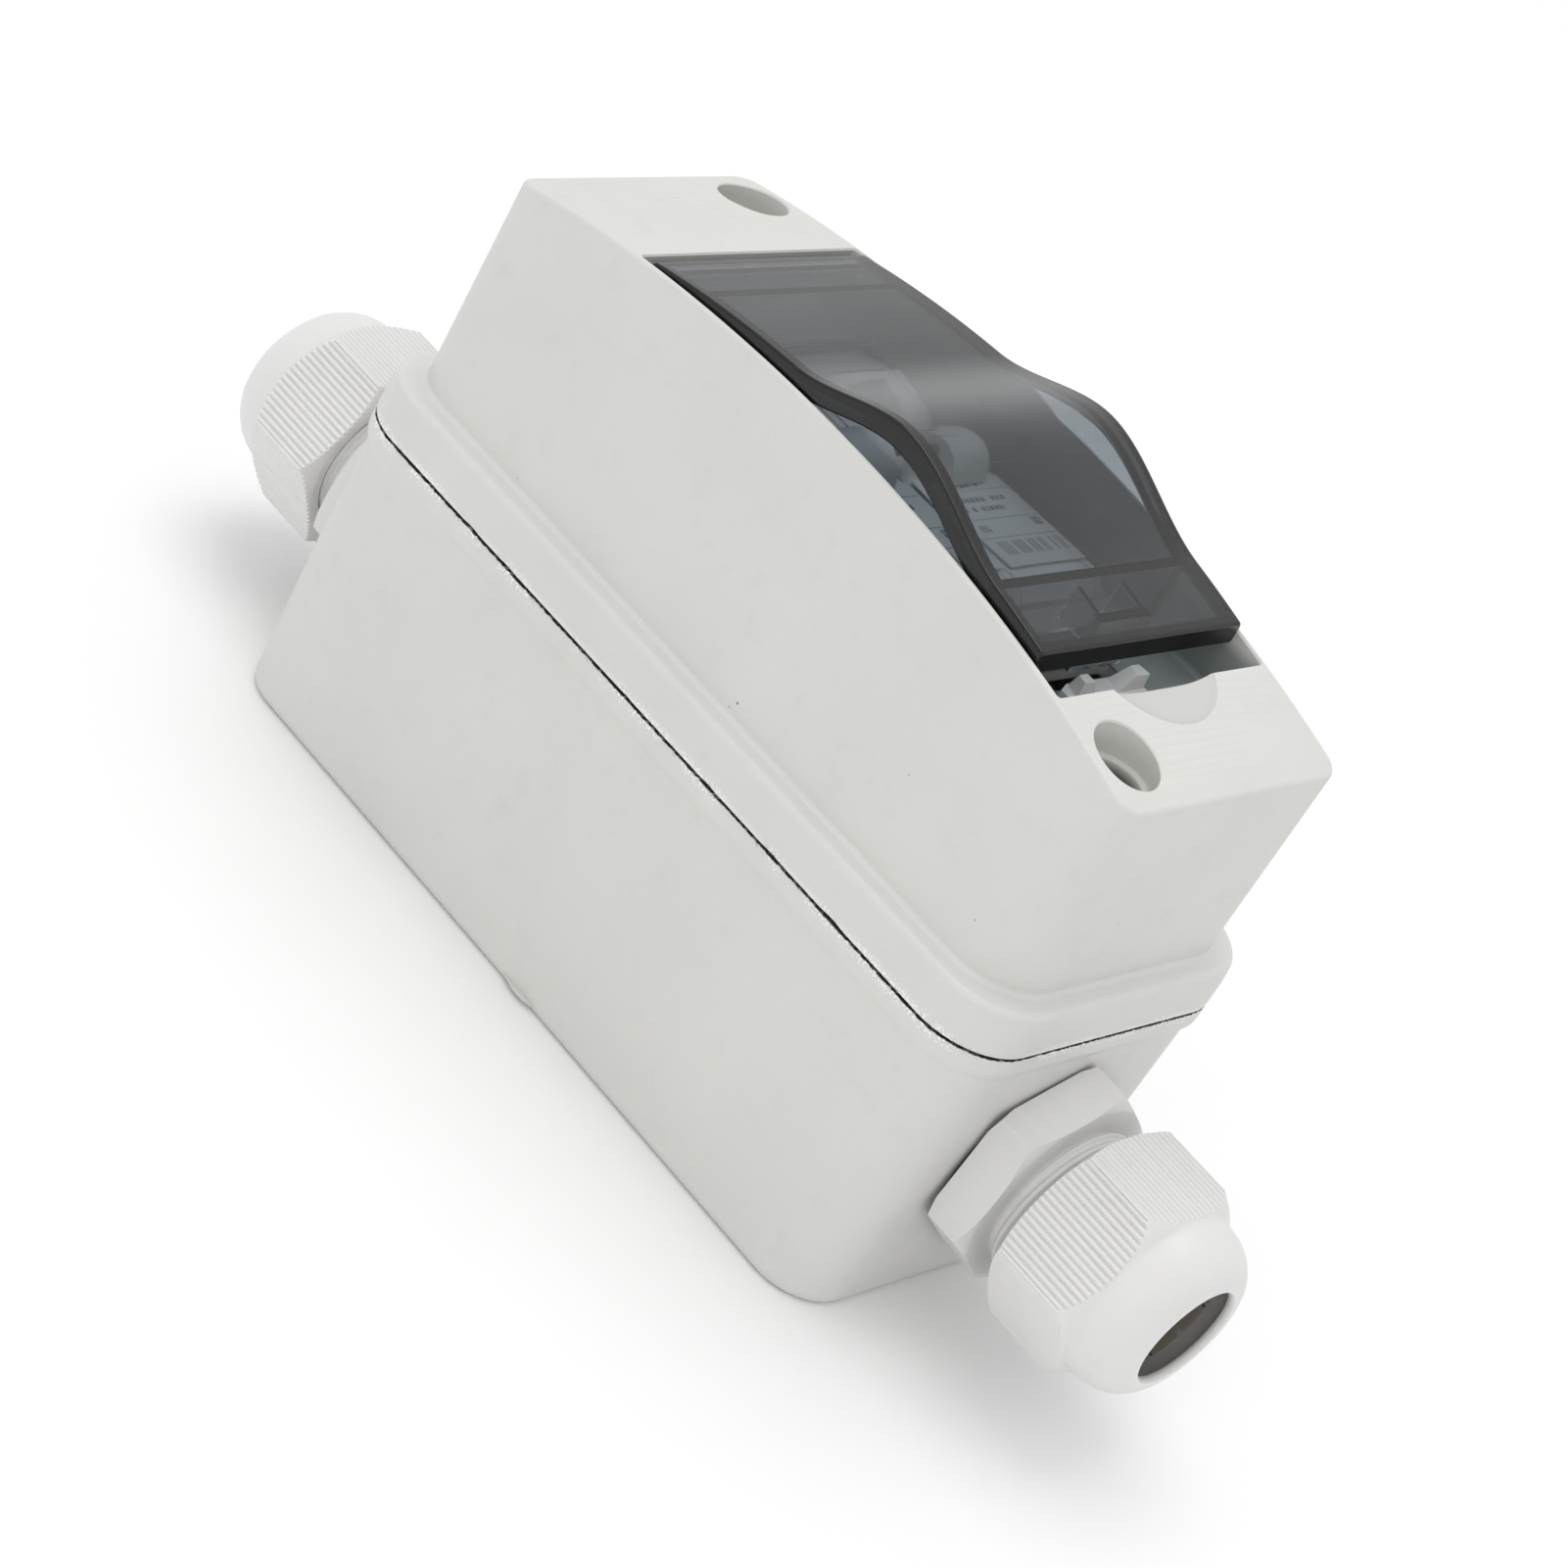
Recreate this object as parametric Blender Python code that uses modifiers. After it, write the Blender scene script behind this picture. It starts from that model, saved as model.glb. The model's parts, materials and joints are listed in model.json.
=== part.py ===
"""Two-module weatherproof DC breaker box with a smoked hinged window and two cable glands.

The box lies on its flat back.  The origin is the centre of the back face, +Z points out of
the mounting surface, X runs across the box and +Y points to the end with the window hinge.
"""

import math

import bmesh
import bpy
from mathutils import Matrix, Vector

MM = 0.001
GAP = 0.3 * MM            # clearance kept between neighbouring pieces
FUSE = 0.00001            # merge distance of every modifier that welds vertices
PAST = 1.0 * MM           # how far a cutter runs past the surface it opens
ROOT = 1.0 * MM           # how deep a joined piece is rooted in its neighbour

# ---- driving dimensions of the shell ---------------------------------------------------
RIM_WIDTH = 60.0 * MM     # across the flange at the parting line
RIM_LENGTH = 137.8 * MM
RIM_RADIUS = 11.0 * MM
SEAM_Z = 48.5 * MM
SEAM_GAP = 0.4 * MM
WALL = 2.5 * MM

BASE_BOTTOM_WIDTH = 56.9 * MM
BASE_BOTTOM_LENGTH = 133.3 * MM
BASE_BOTTOM_RADIUS = 9.0 * MM
BASE_TOP_WIDTH = 58.6 * MM
BASE_TOP_LENGTH = 136.2 * MM
BASE_TOP_RADIUS = 10.2 * MM
BASE_FLOOR = 3.0 * MM
FLOOR_FILLET = (0.8 * MM, 1.5 * MM)                                    # depth, height
BACK_EDGE = ((1.2 * MM, 0.0), (0.35 * MM, 0.4 * MM), (0.0, 1.3 * MM))  # inset, level
BASE_BLEND_Z = 44.0 * MM                                               # wall starts to swell out
RIM_FOOT = ((0.25 * MM, 45.2 * MM), (0.0, 45.8 * MM))                  # inset, level

FLANGE_TOP_Z = 56.0 * MM
LID_SHOULDER = ((0.0, 52.9 * MM), (0.35 * MM, 54.5 * MM), (1.3 * MM, 55.8 * MM), (2.6 * MM, 56.1 * MM))
LID_FOOT_WIDTH = 53.2 * MM
LID_FOOT_LENGTH = 131.2 * MM
LID_HEAD_WIDTH = 47.8 * MM
LID_HEAD_LENGTH = 129.6 * MM
LID_HEAD_Z = 89.0 * MM
LID_FOOT_RADIUS = 10.0 * MM
LID_HEAD_RADIUS = 3.2 * MM
LID_WALL = 2.2 * MM
LID_RIM_WALL = 3.2 * MM
LID_CEILING_Z = 86.0 * MM
LID_BLANK_Z = 99.0 * MM   # the lid is drawn up to here and then cut back to its arch

ARCH_PEAK_Z = 96.4 * MM   # crown of the lid's barrel front
ARCH_PEAK_Y = 2.5 * MM
ARCH_RADIUS = 265.0 * MM
ARCH_SPAN = 75.0 * MM     # half length of the arch cutter
ARCH_STEPS = 23

SEAL_LINE = 1.9 * MM      # from the rim's edge to the middle of the seam seal
SEAL_GROOVE_WIDTH = 1.5 * MM
SEAL_GROOVE_DEPTH = 1.6 * MM
SEAL_WIDTH = 0.84 * MM
SEAL_HEIGHT = 1.4 * MM

LUG_LOW = Vector((1.5, -8.4, 0.5)) * MM    # reach past the wall, start along Y, level
LUG_HIGH = Vector((1.5, 0.8, 2.9)) * MM
MOUNT_HOLE_Y = 50.0 * MM
MOUNT_HOLE_RADIUS = 2.3 * MM

# ---- window and its pocket -------------------------------------------------------------
POCKET_HALF_X = 22.6 * MM
POCKET_LOW_Y = -47.4 * MM
POCKET_HIGH_Y = 41.2 * MM
POCKET_FLOOR_Z = 83.5 * MM
POCKET_FLOOR_THICK = 2.0 * MM
TRAY_WALL = Vector((0.7, 2.0)) * MM        # past the pocket, across and along the box
TRAY_STEPS = 15
NOSE_SLOT = Vector((18.6, 23.2)) * MM      # half size of the opening over the breaker
CATCH_SLOT_HALF_X = 8.0 * MM
CATCH_SLOT_LOW_Y = -38.4 * MM
CATCH_SLOT_HIGH_Y = -34.6 * MM
SCOOP_BALL_RADIUS = 52.0 * MM
SCOOP_RIM_RADIUS = 12.5 * MM
SCOOP_Y = -41.2 * MM
SCOOP_LEVEL_Y = -49.0 * MM                 # the scoop's rim is level with the arch here
CATCH_OUTLINE = ((-8.6, -42.2), (7.6, -42.2), (7.6, -39.2), (5.6, -38.7), (3.4, -38.7),
                 (2.4, -40.2), (-2.4, -40.2), (-3.4, -38.7), (-6.6, -38.7), (-8.6, -39.6))
CATCH_HEIGHT = 3.2 * MM

WINDOW_HALF_X = 22.2 * MM
WINDOW_LOW_Y = -42.0 * MM
WINDOW_HIGH_Y = 39.2 * MM
WINDOW_CROWN_Z = 98.6 * MM
WINDOW_CROWN_Y = -1.5 * MM
WINDOW_RADIUS = 187.5 * MM
WINDOW_STEPS = 29
HUMP_HEIGHT = 4.7 * MM    # extra room over the breaker's levers
HUMP_START_Y = 12.0 * MM
HUMP_PEAK_Y = -8.5 * MM
HUMP_END_Y = -31.0 * MM
WINDOW_SHEET = 2.0 * MM
WINDOW_RIM_DEPTH = 3.2 * MM
WINDOW_RIM_THICK = 1.4 * MM
FRAME_HALF_X = 20.4 * MM
FRAME_LOW_Y = -30.4 * MM
FRAME_HIGH_Y = 31.0 * MM
FRAME_THICK = 1.5 * MM
FRAME_FOOT_Z = 85.2 * MM
FRAME_STEPS = 17
FRAME_SEAL_OUT = 0.5 * MM
FRAME_SEAL_IN = 1.6 * MM
FRAME_SEAL_RADII = (1.5 * MM, 1.0 * MM)
HINGE_Y = 37.4 * MM
HINGE_Z = 91.4 * MM
HINGE_PIN_RADIUS = 1.0 * MM
HINGE_PIN_LENGTH = 45.6 * MM
HINGE_SOCKET_LENGTH = 46.4 * MM
HINGE_BARREL_RADIUS = 2.3 * MM
HINGE_BARREL_LENGTH = 44.2 * MM
TONGUE_LOW_Y = -37.4 * MM
TONGUE_HIGH_Y = -36.0 * MM
TONGUE_HALF_X = 5.6 * MM
TONGUE_FOOT_Z = 85.7 * MM

# ---- lid screws ------------------------------------------------------------------------
SCREW_PLACES = {"lower": (-16.8 * MM, -56.5 * MM), "upper": (16.8 * MM, 56.5 * MM)}
WELL_RADIUS = 5.1 * MM
WELL_TUBE_RADIUS = 6.6 * MM
WELL_SEAT_Z = 58.0 * MM
WELL_SEAT_THICK = 3.0 * MM
WELL_TOP_Z = 100.0 * MM
WELL_STEPS = 20
SCREW_SHANK_RADIUS = 1.75 * MM
SCREW_HEAD_RADIUS = 3.9 * MM
SCREW_HEAD_HEIGHT = 2.8 * MM
SCREW_HEAD_BEVEL = Vector((0.8, 0.9)) * MM
SCREW_POINT_RADIUS = 0.6 * MM
SCREW_TIP_Z = 30.0 * MM
SCREW_POINT_LENGTH = 2.0 * MM
RECESS_HALF_LENGTH = 2.6 * MM
RECESS_HALF_WIDTH = 0.45 * MM
RECESS_DEPTH = 1.5 * MM
SCREW_SEAL_RADIUS = 4.0 * MM
SCREW_SEAL_THICK = 1.2 * MM
BOSS_RADIUS = 3.9 * MM
BOSS_DROP = 2.5 * MM      # top of a boss below the seam
BOSS_PILOT_LOW_Z = 26.0 * MM

# ---- rail ------------------------------------------------------------------------------
RAIL_FRONT_Z = 25.5 * MM
RAIL_DEPTH = 7.5 * MM
RAIL_WIDTH = 35.0 * MM
RAIL_WEB = 25.0 * MM
RAIL_SHEET = 1.0 * MM
RAIL_HALF_LENGTH = 25.0 * MM
RAIL_SCREW_X = 21.4 * MM
RAIL_HOLE_RADIUS = 1.7 * MM
RAIL_PILOT_LOW_Z = 8.0 * MM
RAIL_POST_RADIUS = 3.4 * MM
RAIL_SCREW_HEAD = ((2.0 * MM, 1.6 * MM), (2.8 * MM, 0.8 * MM), (2.8 * MM, 0.0))  # radius, height
RAIL_SCREW_SHANK = ((1.4 * MM, 10.0 * MM), (0.5 * MM, 8.6 * MM))                 # radius, level

# ---- breaker ---------------------------------------------------------------------------
POLE_PITCH = 18.0 * MM
POLE_WIDTH = 17.7 * MM
POLE_COVER = 1.5 * MM
POLE_SKIN = 1.6 * MM
POLE_HALF_LENGTH = 40.5 * MM
POLE_BACK_Z = 20.0 * MM
SHOULDER_Z = 69.5 * MM
NOSE_HALF_LENGTH = 22.4 * MM
NOSE_Z = 85.5 * MM
NOSE_CORNER = 1.6 * MM
HOOK_REACH = 2.2 * MM     # fixed hook that grips the rail's upper flange
HOOK_HEIGHT = 2.0 * MM
CLIP_HALF_X = 4.2 * MM
CLIP_OUT = 1.2 * MM       # the rail clip past the end of the pole
CLIP_THICK = 2.1 * MM
CLIP_GRIP = 2.2 * MM      # the rail clip under the rail's lower flange
CLIP_EYE_HALF_X = 2.5 * MM
CLIP_EYE_LOW = 0.2 * MM
CLIP_EYE_HIGH = 2.3 * MM
SLOT_LOW_Y = 1.4 * MM
SLOT_HIGH_Y = 19.4 * MM
SLOT_LOW_Z = 80.0 * MM
LEVER_Y = 8.0 * MM
LEVER_Z = 75.5 * MM
LEVER_WIDTH = 7.6 * MM
LEVER_HUB_RADIUS = 6.0 * MM
LEVER_HUB_ARC = (38.0, -206.0)             # degrees from +Y, start and end
LEVER_HUB_STEPS = 14
LEVER_THUMB = ((2.6, 84.0), (2.4, 85.4), (1.0, 86.3), (-1.3, 86.5), (-0.6, 88.6), (0.6, 90.2),
               (2.4, 91.2), (4.4, 91.4), (6.6, 90.9), (8.6, 89.6), (10.2, 87.6), (11.0, 85.0))
PIN_BORE_RADIUS = 1.5 * MM   # holes for the lever pin and the contact pin
PIN_SHORT = 1.2 * MM         # how much a pin is shorter than the two poles are wide
CONTACT_Y = 2.0 * MM
CONTACT_Z = 60.0 * MM
ARM_HALF_WIDTH = 1.6 * MM
ARM_OUTLINE = ((-4.2, 2.2), (0.0, 4.0), (3.4, 2.2), (3.4, -2.0), (0.6, -4.2), (-12.5, -16.0),
               (-15.0, -14.4))
TIE_RADIUS = 1.1 * MM
TIE_FIT = 0.15 * MM
TIE_Y = 4.2 * MM
TIE_Z = 89.0 * MM
LABEL_LOW_Y = -19.0 * MM
LABEL_HIGH_Y = 0.6 * MM
LABEL_MARGIN = 0.6 * MM
CHUTE_LOW = Vector((-4.5, -36.0, 29.0)) * MM
CHUTE_HIGH = Vector((4.5, -18.0, 45.0)) * MM
CHUTE_GAPS = 5
CHUTE_GAP_LOW_Z = 31.2 * MM
CHUTE_GAP_PITCH = 2.4 * MM
CHUTE_GAP = 1.2 * MM
CHUTE_BACK = 1.6 * MM
COIL_PLACE = (22.0 * MM, 42.0 * MM)
COIL_PROFILE = ((2.0, 7.0), (5.0, 7.0), (5.0, 5.6), (4.2, 5.0), (4.2, -5.0), (5.0, -5.6), (5.0, -7.0),
                (2.0, -7.0))

TERMINAL_Y = 32.5 * MM
DRIVER_HOLE_RADIUS = 3.3 * MM
DRIVER_HOLE_DEPTH = 4.0 * MM
ENTRY_HALF_X = 4.0 * MM
ENTRY_LOW_Z = 53.5 * MM
ENTRY_HIGH_Z = 61.5 * MM
ENTRY_DEPTH = 3.0 * MM
CLAMP_SIZE = Vector((10.0, 9.0, 11.0)) * MM
CLAMP_CENTRE_Z = 58.0 * MM
MOUTH_HALF_X = 3.7 * MM
MOUTH_BELOW = 4.2 * MM
MOUTH_ABOVE = 3.6 * MM
TERMINAL_BORE_RADIUS = 2.2 * MM
TERMINAL_SHANK_RADIUS = 1.9 * MM
TERMINAL_HEAD = ((2.6 * MM, 2.6 * MM), (2.9 * MM, 2.2 * MM), (2.9 * MM, 0.0))     # radius, height
TERMINAL_TIP_Z = 59.6 * MM
TERMINAL_SLOT = Vector((2.4, 0.4, 1.1)) * MM     # half length, half width, depth

# ---- cable glands, M25 thread ----------------------------------------------------------
GLAND_Z = 25.0 * MM
GLAND_THREAD_RADIUS = 12.35 * MM
GLAND_ROOT_RADIUS = 11.8 * MM
GLAND_BORE_RADIUS = 9.2 * MM
GLAND_BORE_BEVEL = (0.8 * MM, 1.0 * MM)
GLAND_INSIDE = 9.5 * MM   # thread that reaches into the box
GLAND_SEAT_RADIUS = 14.3 * MM
GLAND_SEAT_DEPTH = 8.0 * MM
GASKET_THICK = 0.9 * MM
GASKET_RADIUS = 13.9 * MM
GASKET_FIT = 0.12 * MM
HEX_FLATS = 30.0 * MM
HEX_TURN = math.radians(20.6)
HEX_THICK = 7.0 * MM
HEX_CORNER_CUT = 0.7 * MM
HEX_FOOT_BEVEL = 0.6 * MM
HEX_FACE_BEVEL = (0.9 * MM, 1.4 * MM, 1.2 * MM)  # off the flats, off the corners, height
THREAD_PITCH = 2.0 * MM
THREAD_TURNS = 3          # turns that show between the hexagon and the nut
THREAD_START = 0.6 * MM
THREAD_TOOTH = (0.45 * MM, 1.0 * MM, 1.45 * MM)  # crest starts, crest ends, root again
COLLAR_LENGTH = 11.5 * MM
LOCKNUT_FLATS = 29.0 * MM
LOCKNUT_TURN = math.radians(30.0)
LOCKNUT_CORNER = 16.2 * MM
LOCKNUT_BEVEL = 0.8 * MM
LOCKNUT_THICK = 3.8 * MM
LOCKNUT_OFF_WALL = 0.85 * MM
SEAL_RADII = (7.2 * MM, 8.0 * MM)                # bore and front edge of the cable seal
SEAL_BELOW = 8.0 * MM     # the seal's reach into the gland and out of it
SEAL_ABOVE = 5.0 * MM
SEAL_TAPER = 1.5 * MM
CLAW_OUTSIDE = ((10.2 * MM, 5.6 * MM), (11.3 * MM, 4.0 * MM), (11.6 * MM, 0.0))  # radius, height
CLAW_CLEAR = 0.4 * MM
CLAW_HEIGHT = 5.6 * MM
SLIP_RING_RADII = (9.8 * MM, 11.8 * MM)
SLIP_RING_THICK = 0.8 * MM
NUT_FLATS = 29.5 * MM
NUT_TURN = math.radians(2.0)
NUT_OFF_HEX = 3.8 * MM    # thread left open between the hexagon and the nut
NUT_HEX_LENGTH = 14.6 * MM
NUT_LENGTH = 23.2 * MM
NUT_CORNER_CUT = 0.6 * MM
NUT_FRONT_CUT = 0.5 * MM
NUT_BEVEL = 1.5 * MM
# Radius and distance from the hexagon's front face, then the same back from the tip.
NUT_DOME = ((14.1, 1.0), (14.2, 2.8), (13.7, 4.8), (12.7, 6.8))
NUT_LIP = ((11.2, 0.4), (9.6, 0.0), (8.5, 0.4), (8.1, 1.4), (8.4, 2.6), (12.0, 6.6))
NUT_THREAD_BACK = 8.6 * MM
ROUND_STEPS = 24

SIDES = (("left", -1), ("right", 1))
ENDS = (("lower", -1), ("upper", 1))

PLASTIC_GREY = (0.68, 0.68, 0.65, 1.0)
GLAND_WHITE = (0.76, 0.76, 0.74, 1.0)
BREAKER_GREY = (0.72, 0.72, 0.70, 1.0)
SMOKED = (0.05, 0.06, 0.07, 0.6)
RUBBER_BLACK = (0.05, 0.05, 0.05, 1.0)
CLIP_BLACK = (0.08, 0.08, 0.08, 1.0)
STEEL = (0.6, 0.6, 0.62, 1.0)
ZINC = (0.62, 0.62, 0.6, 1.0)
BRASS = (0.7, 0.68, 0.6, 1.0)
COPPER = (0.72, 0.42, 0.22, 1.0)


# ---- scene and material helpers --------------------------------------------------------
def clear_scene():
    for old in list(bpy.data.objects):
        bpy.data.objects.remove(old, do_unlink=True)


def make_collection(name):
    collection = bpy.data.collections.new(name)
    bpy.context.scene.collection.children.link(collection)
    return collection


clear_scene()
PARTS = make_collection("dc_breaker_box")
CUTTERS = make_collection("cutters")


def make_material(name, color, roughness=0.5, metallic=0.0):
    material = bpy.data.materials.new(name)
    material.use_nodes = True
    shader = material.node_tree.nodes["Principled BSDF"]
    shader.inputs["Base Color"].default_value = color
    shader.inputs["Roughness"].default_value = roughness
    shader.inputs["Metallic"].default_value = metallic
    return material


def add_part(name, mesh, color, roughness=0.5, metallic=0.0):
    part = bpy.data.objects.new(name, mesh)
    PARTS.objects.link(part)
    mesh.materials.clear()
    mesh.materials.append(make_material(name, color, roughness, metallic))
    return part


def add_cutter(name, mesh):
    cutter = bpy.data.objects.new(name, mesh)
    CUTTERS.objects.link(cutter)
    cutter.hide_render = True
    cutter.display_type = "WIRE"
    return cutter


def boolean(part, other, operation):
    modifier = part.modifiers.new(operation.lower() + "_" + other.name, "BOOLEAN")
    modifier.operation = operation
    modifier.solver = "EXACT"
    modifier.object = other


def cut(part, cutter):
    boolean(part, cutter, "DIFFERENCE")


def join(part, other):
    boolean(part, other, "UNION")


# ---- mesh builders ---------------------------------------------------------------------
def mesh_from(bm, name):
    bmesh.ops.recalc_face_normals(bm, faces=bm.faces)
    mesh = bpy.data.meshes.new(name)
    bm.to_mesh(mesh)
    bm.free()
    return mesh


def box_mesh(name, low, high):
    low, high = Vector(low), Vector(high)
    bm = bmesh.new()
    bmesh.ops.create_cube(bm, size=1.0)
    bmesh.ops.scale(bm, vec=high - low, verts=bm.verts)
    bmesh.ops.translate(bm, vec=(low + high) / 2, verts=bm.verts)
    return mesh_from(bm, name)


AXIS_TURN = {
    "X": Matrix.Rotation(math.radians(90), 4, "Y"),
    "Y": Matrix.Rotation(math.radians(-90), 4, "X"),
    "Z": Matrix.Identity(4),
}


def rod_mesh(name, axis, centre, radius, length, steps=16):
    bm = bmesh.new()
    place = Matrix.Translation(Vector(centre)) @ AXIS_TURN[axis]
    bmesh.ops.create_cone(bm, cap_ends=True, segments=steps, radius1=radius, radius2=radius,
                          depth=length, matrix=place)
    return mesh_from(bm, name)


def prism_mesh(name, outline, low_x, high_x):
    """A (y, z) outline drawn out along X."""
    bm = bmesh.new()
    start = [bm.verts.new((low_x, y, z)) for y, z in outline]
    face = bm.faces.new(start)
    swept = bmesh.ops.extrude_face_region(bm, geom=[face])
    moved = [item for item in swept["geom"] if isinstance(item, bmesh.types.BMVert)]
    bmesh.ops.translate(bm, vec=(high_x - low_x, 0, 0), verts=moved)
    return mesh_from(bm, name)


def rounded_ring(half_x, half_y, radius, z, corner_steps):
    points = []
    for quarter in range(4):
        sign_x = 1 if quarter in (0, 3) else -1
        sign_y = 1 if quarter in (0, 1) else -1
        for step in range(corner_steps + 1):
            angle = math.pi / 2 * (quarter + step / corner_steps)
            points.append((sign_x * (half_x - radius) + radius * math.cos(angle),
                           sign_y * (half_y - radius) + radius * math.sin(angle), z))
    return points


def stack_rings(bm, rings, close=False):
    """Skin a list of point rings; close=True joins the last ring back to the first."""
    verts = [[bm.verts.new(point) for point in ring] for ring in rings]
    pairs = list(zip(verts, verts[1:]))
    if close:
        pairs.append((verts[-1], verts[0]))
    else:
        bm.faces.new(verts[0])
        bm.faces.new(verts[-1])
    for lower, upper in pairs:
        count = len(lower)
        for i in range(count):
            j = (i + 1) % count
            bm.faces.new((lower[i], lower[j], upper[j], upper[i]))


def loft_mesh(name, sections, corner_steps=4):
    """A solid skinned through rounded rectangles given as (half_x, half_y, radius, z)."""
    bm = bmesh.new()
    stack_rings(bm, [rounded_ring(*section, corner_steps) for section in sections])
    return mesh_from(bm, name)


def frame_mesh(name, outer, inner, low_z, high_z, corner_steps=4):
    """A flat rectangular ring: outer and inner are (half_x, half_y, radius)."""
    bm = bmesh.new()
    rings = [rounded_ring(*outer, low_z, corner_steps), rounded_ring(*outer, high_z, corner_steps),
             rounded_ring(*inner, high_z, corner_steps), rounded_ring(*inner, low_z, corner_steps)]
    stack_rings(bm, rings, close=True)
    return mesh_from(bm, name)


def hex_radius(angle, flats, turn, corner_cut):
    """Distance from a hexagon's axis to its side, with the corners turned down to a circle."""
    sector = math.radians(60)
    off_middle = (angle - turn) % sector - sector / 2
    return min(flats / 2 / math.cos(off_middle), corner_cut)


def hex_ring(flats, turn, corner_cut, along):
    points = []
    for step in range(ROUND_STEPS):
        angle = 2 * math.pi * step / ROUND_STEPS + turn
        reach = hex_radius(angle, flats, turn, corner_cut)
        points.append((reach * math.cos(angle), reach * math.sin(angle), along))
    return points


def round_ring(radius, along, turn=0.0):
    points = []
    for step in range(ROUND_STEPS):
        angle = 2 * math.pi * step / ROUND_STEPS + turn
        points.append((radius * math.cos(angle), radius * math.sin(angle), along))
    return points


def tube_mesh(name, rings):
    bm = bmesh.new()
    stack_rings(bm, rings, close=True)
    return mesh_from(bm, name)


def turned_part(name, profile, color, roughness=0.5, metallic=0.0, steps=16, closed=False):
    """Turn a (radius, z) profile about Z; it runs from the top down its outer side."""
    mesh = bpy.data.meshes.new(name)
    points = [(radius, 0.0, z) for radius, z in profile]
    edges = [(i, i + 1) for i in range(len(points) - 1)]
    if closed:
        edges.append((len(points) - 1, 0))
    mesh.from_pydata(points, edges, [])
    part = add_part(name, mesh, color, roughness, metallic)
    screw = part.modifiers.new("turn", "SCREW")
    screw.axis = "Z"
    screw.steps = steps
    screw.render_steps = steps
    screw.use_merge_vertices = True
    screw.merge_threshold = FUSE
    screw.use_smooth_shade = False
    return part


def smooth_step(t):
    t = min(max(t, 0.0), 1.0)
    return t * t * (3 - 2 * t)


def spread(low, high, count):
    return [low + (high - low) * i / (count - 1) for i in range(count)]


def upright_mesh(name, place, low_z, high_z, radius, steps=16):
    """A round rod along Z at place (x, y)."""
    return rod_mesh(name, "Z", (*place, (low_z + high_z) / 2), radius, high_z - low_z, steps)


def cut_box(part, name, low, high):
    cut(part, add_cutter(name, box_mesh(name, low, high)))


def cut_rod(part, name, axis, centre, radius, length, steps=16):
    cut(part, add_cutter(name, rod_mesh(name, axis, centre, radius, length, steps)))


def cut_upright(part, name, place, low_z, high_z, radius, steps=16):
    cut(part, add_cutter(name, upright_mesh(name, place, low_z, high_z, radius, steps)))


def set_origin(part, point):
    """Put the part's origin on a point of its joint axis; the part itself stays put."""
    part.data.transform(Matrix.Translation(-Vector(point)))
    part.location = point


# ---- outlines --------------------------------------------------------------------------
def arch_z(y):
    """Height of the lid's barrel front at y."""
    return ARCH_PEAK_Z - ARCH_RADIUS + math.sqrt(ARCH_RADIUS ** 2 - (y - ARCH_PEAK_Y) ** 2)


def window_z(y):
    """Height of the window's outer face: a flatter barrel with a soft hump."""
    barrel = math.sqrt(WINDOW_RADIUS ** 2 - (y - WINDOW_CROWN_Y) ** 2) - WINDOW_RADIUS
    rise = smooth_step((HUMP_START_Y - y) / (HUMP_START_Y - HUMP_PEAK_Y))
    fall = smooth_step((y - HUMP_END_Y) / (HUMP_PEAK_Y - HUMP_END_Y))
    return WINDOW_CROWN_Z + barrel + HUMP_HEIGHT * rise * fall


def drafted(foot, head, t):
    """Half width, half length and corner radius a share t of the way up a drafted wall."""
    width, length, radius = [a + (b - a) * t for a, b in zip(foot, head)]
    return width / 2, length / 2, radius


def lid_wall_at(z):
    """Outer wall of the lid at height z."""
    return drafted((LID_FOOT_WIDTH, LID_FOOT_LENGTH, LID_FOOT_RADIUS),
                   (LID_HEAD_WIDTH, LID_HEAD_LENGTH, LID_HEAD_RADIUS),
                   (z - FLANGE_TOP_Z) / (LID_HEAD_Z - FLANGE_TOP_Z))


def base_wall_at(z):
    """Outer wall of the base at height z."""
    return drafted((BASE_BOTTOM_WIDTH, BASE_BOTTOM_LENGTH, BASE_BOTTOM_RADIUS),
                   (BASE_TOP_WIDTH, BASE_TOP_LENGTH, BASE_TOP_RADIUS), z / SEAM_Z)


def inset(section, amount):
    half_x, half_y, radius = section
    return (half_x - amount, half_y - amount, max(radius - amount, 0.8 * MM))


def under_window(low_y, high_y, drop, steps):
    """Points along the window's curve, from low_y to high_y, lying drop below its outer face."""
    return [(y, window_z(y) - drop) for y in spread(low_y, high_y, steps)]


def box_outline(low_y, high_y, low_z):
    """The two lower corners that close a curve drawn from low_y to high_y."""
    return [(high_y, low_z), (low_y, low_z)]


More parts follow.
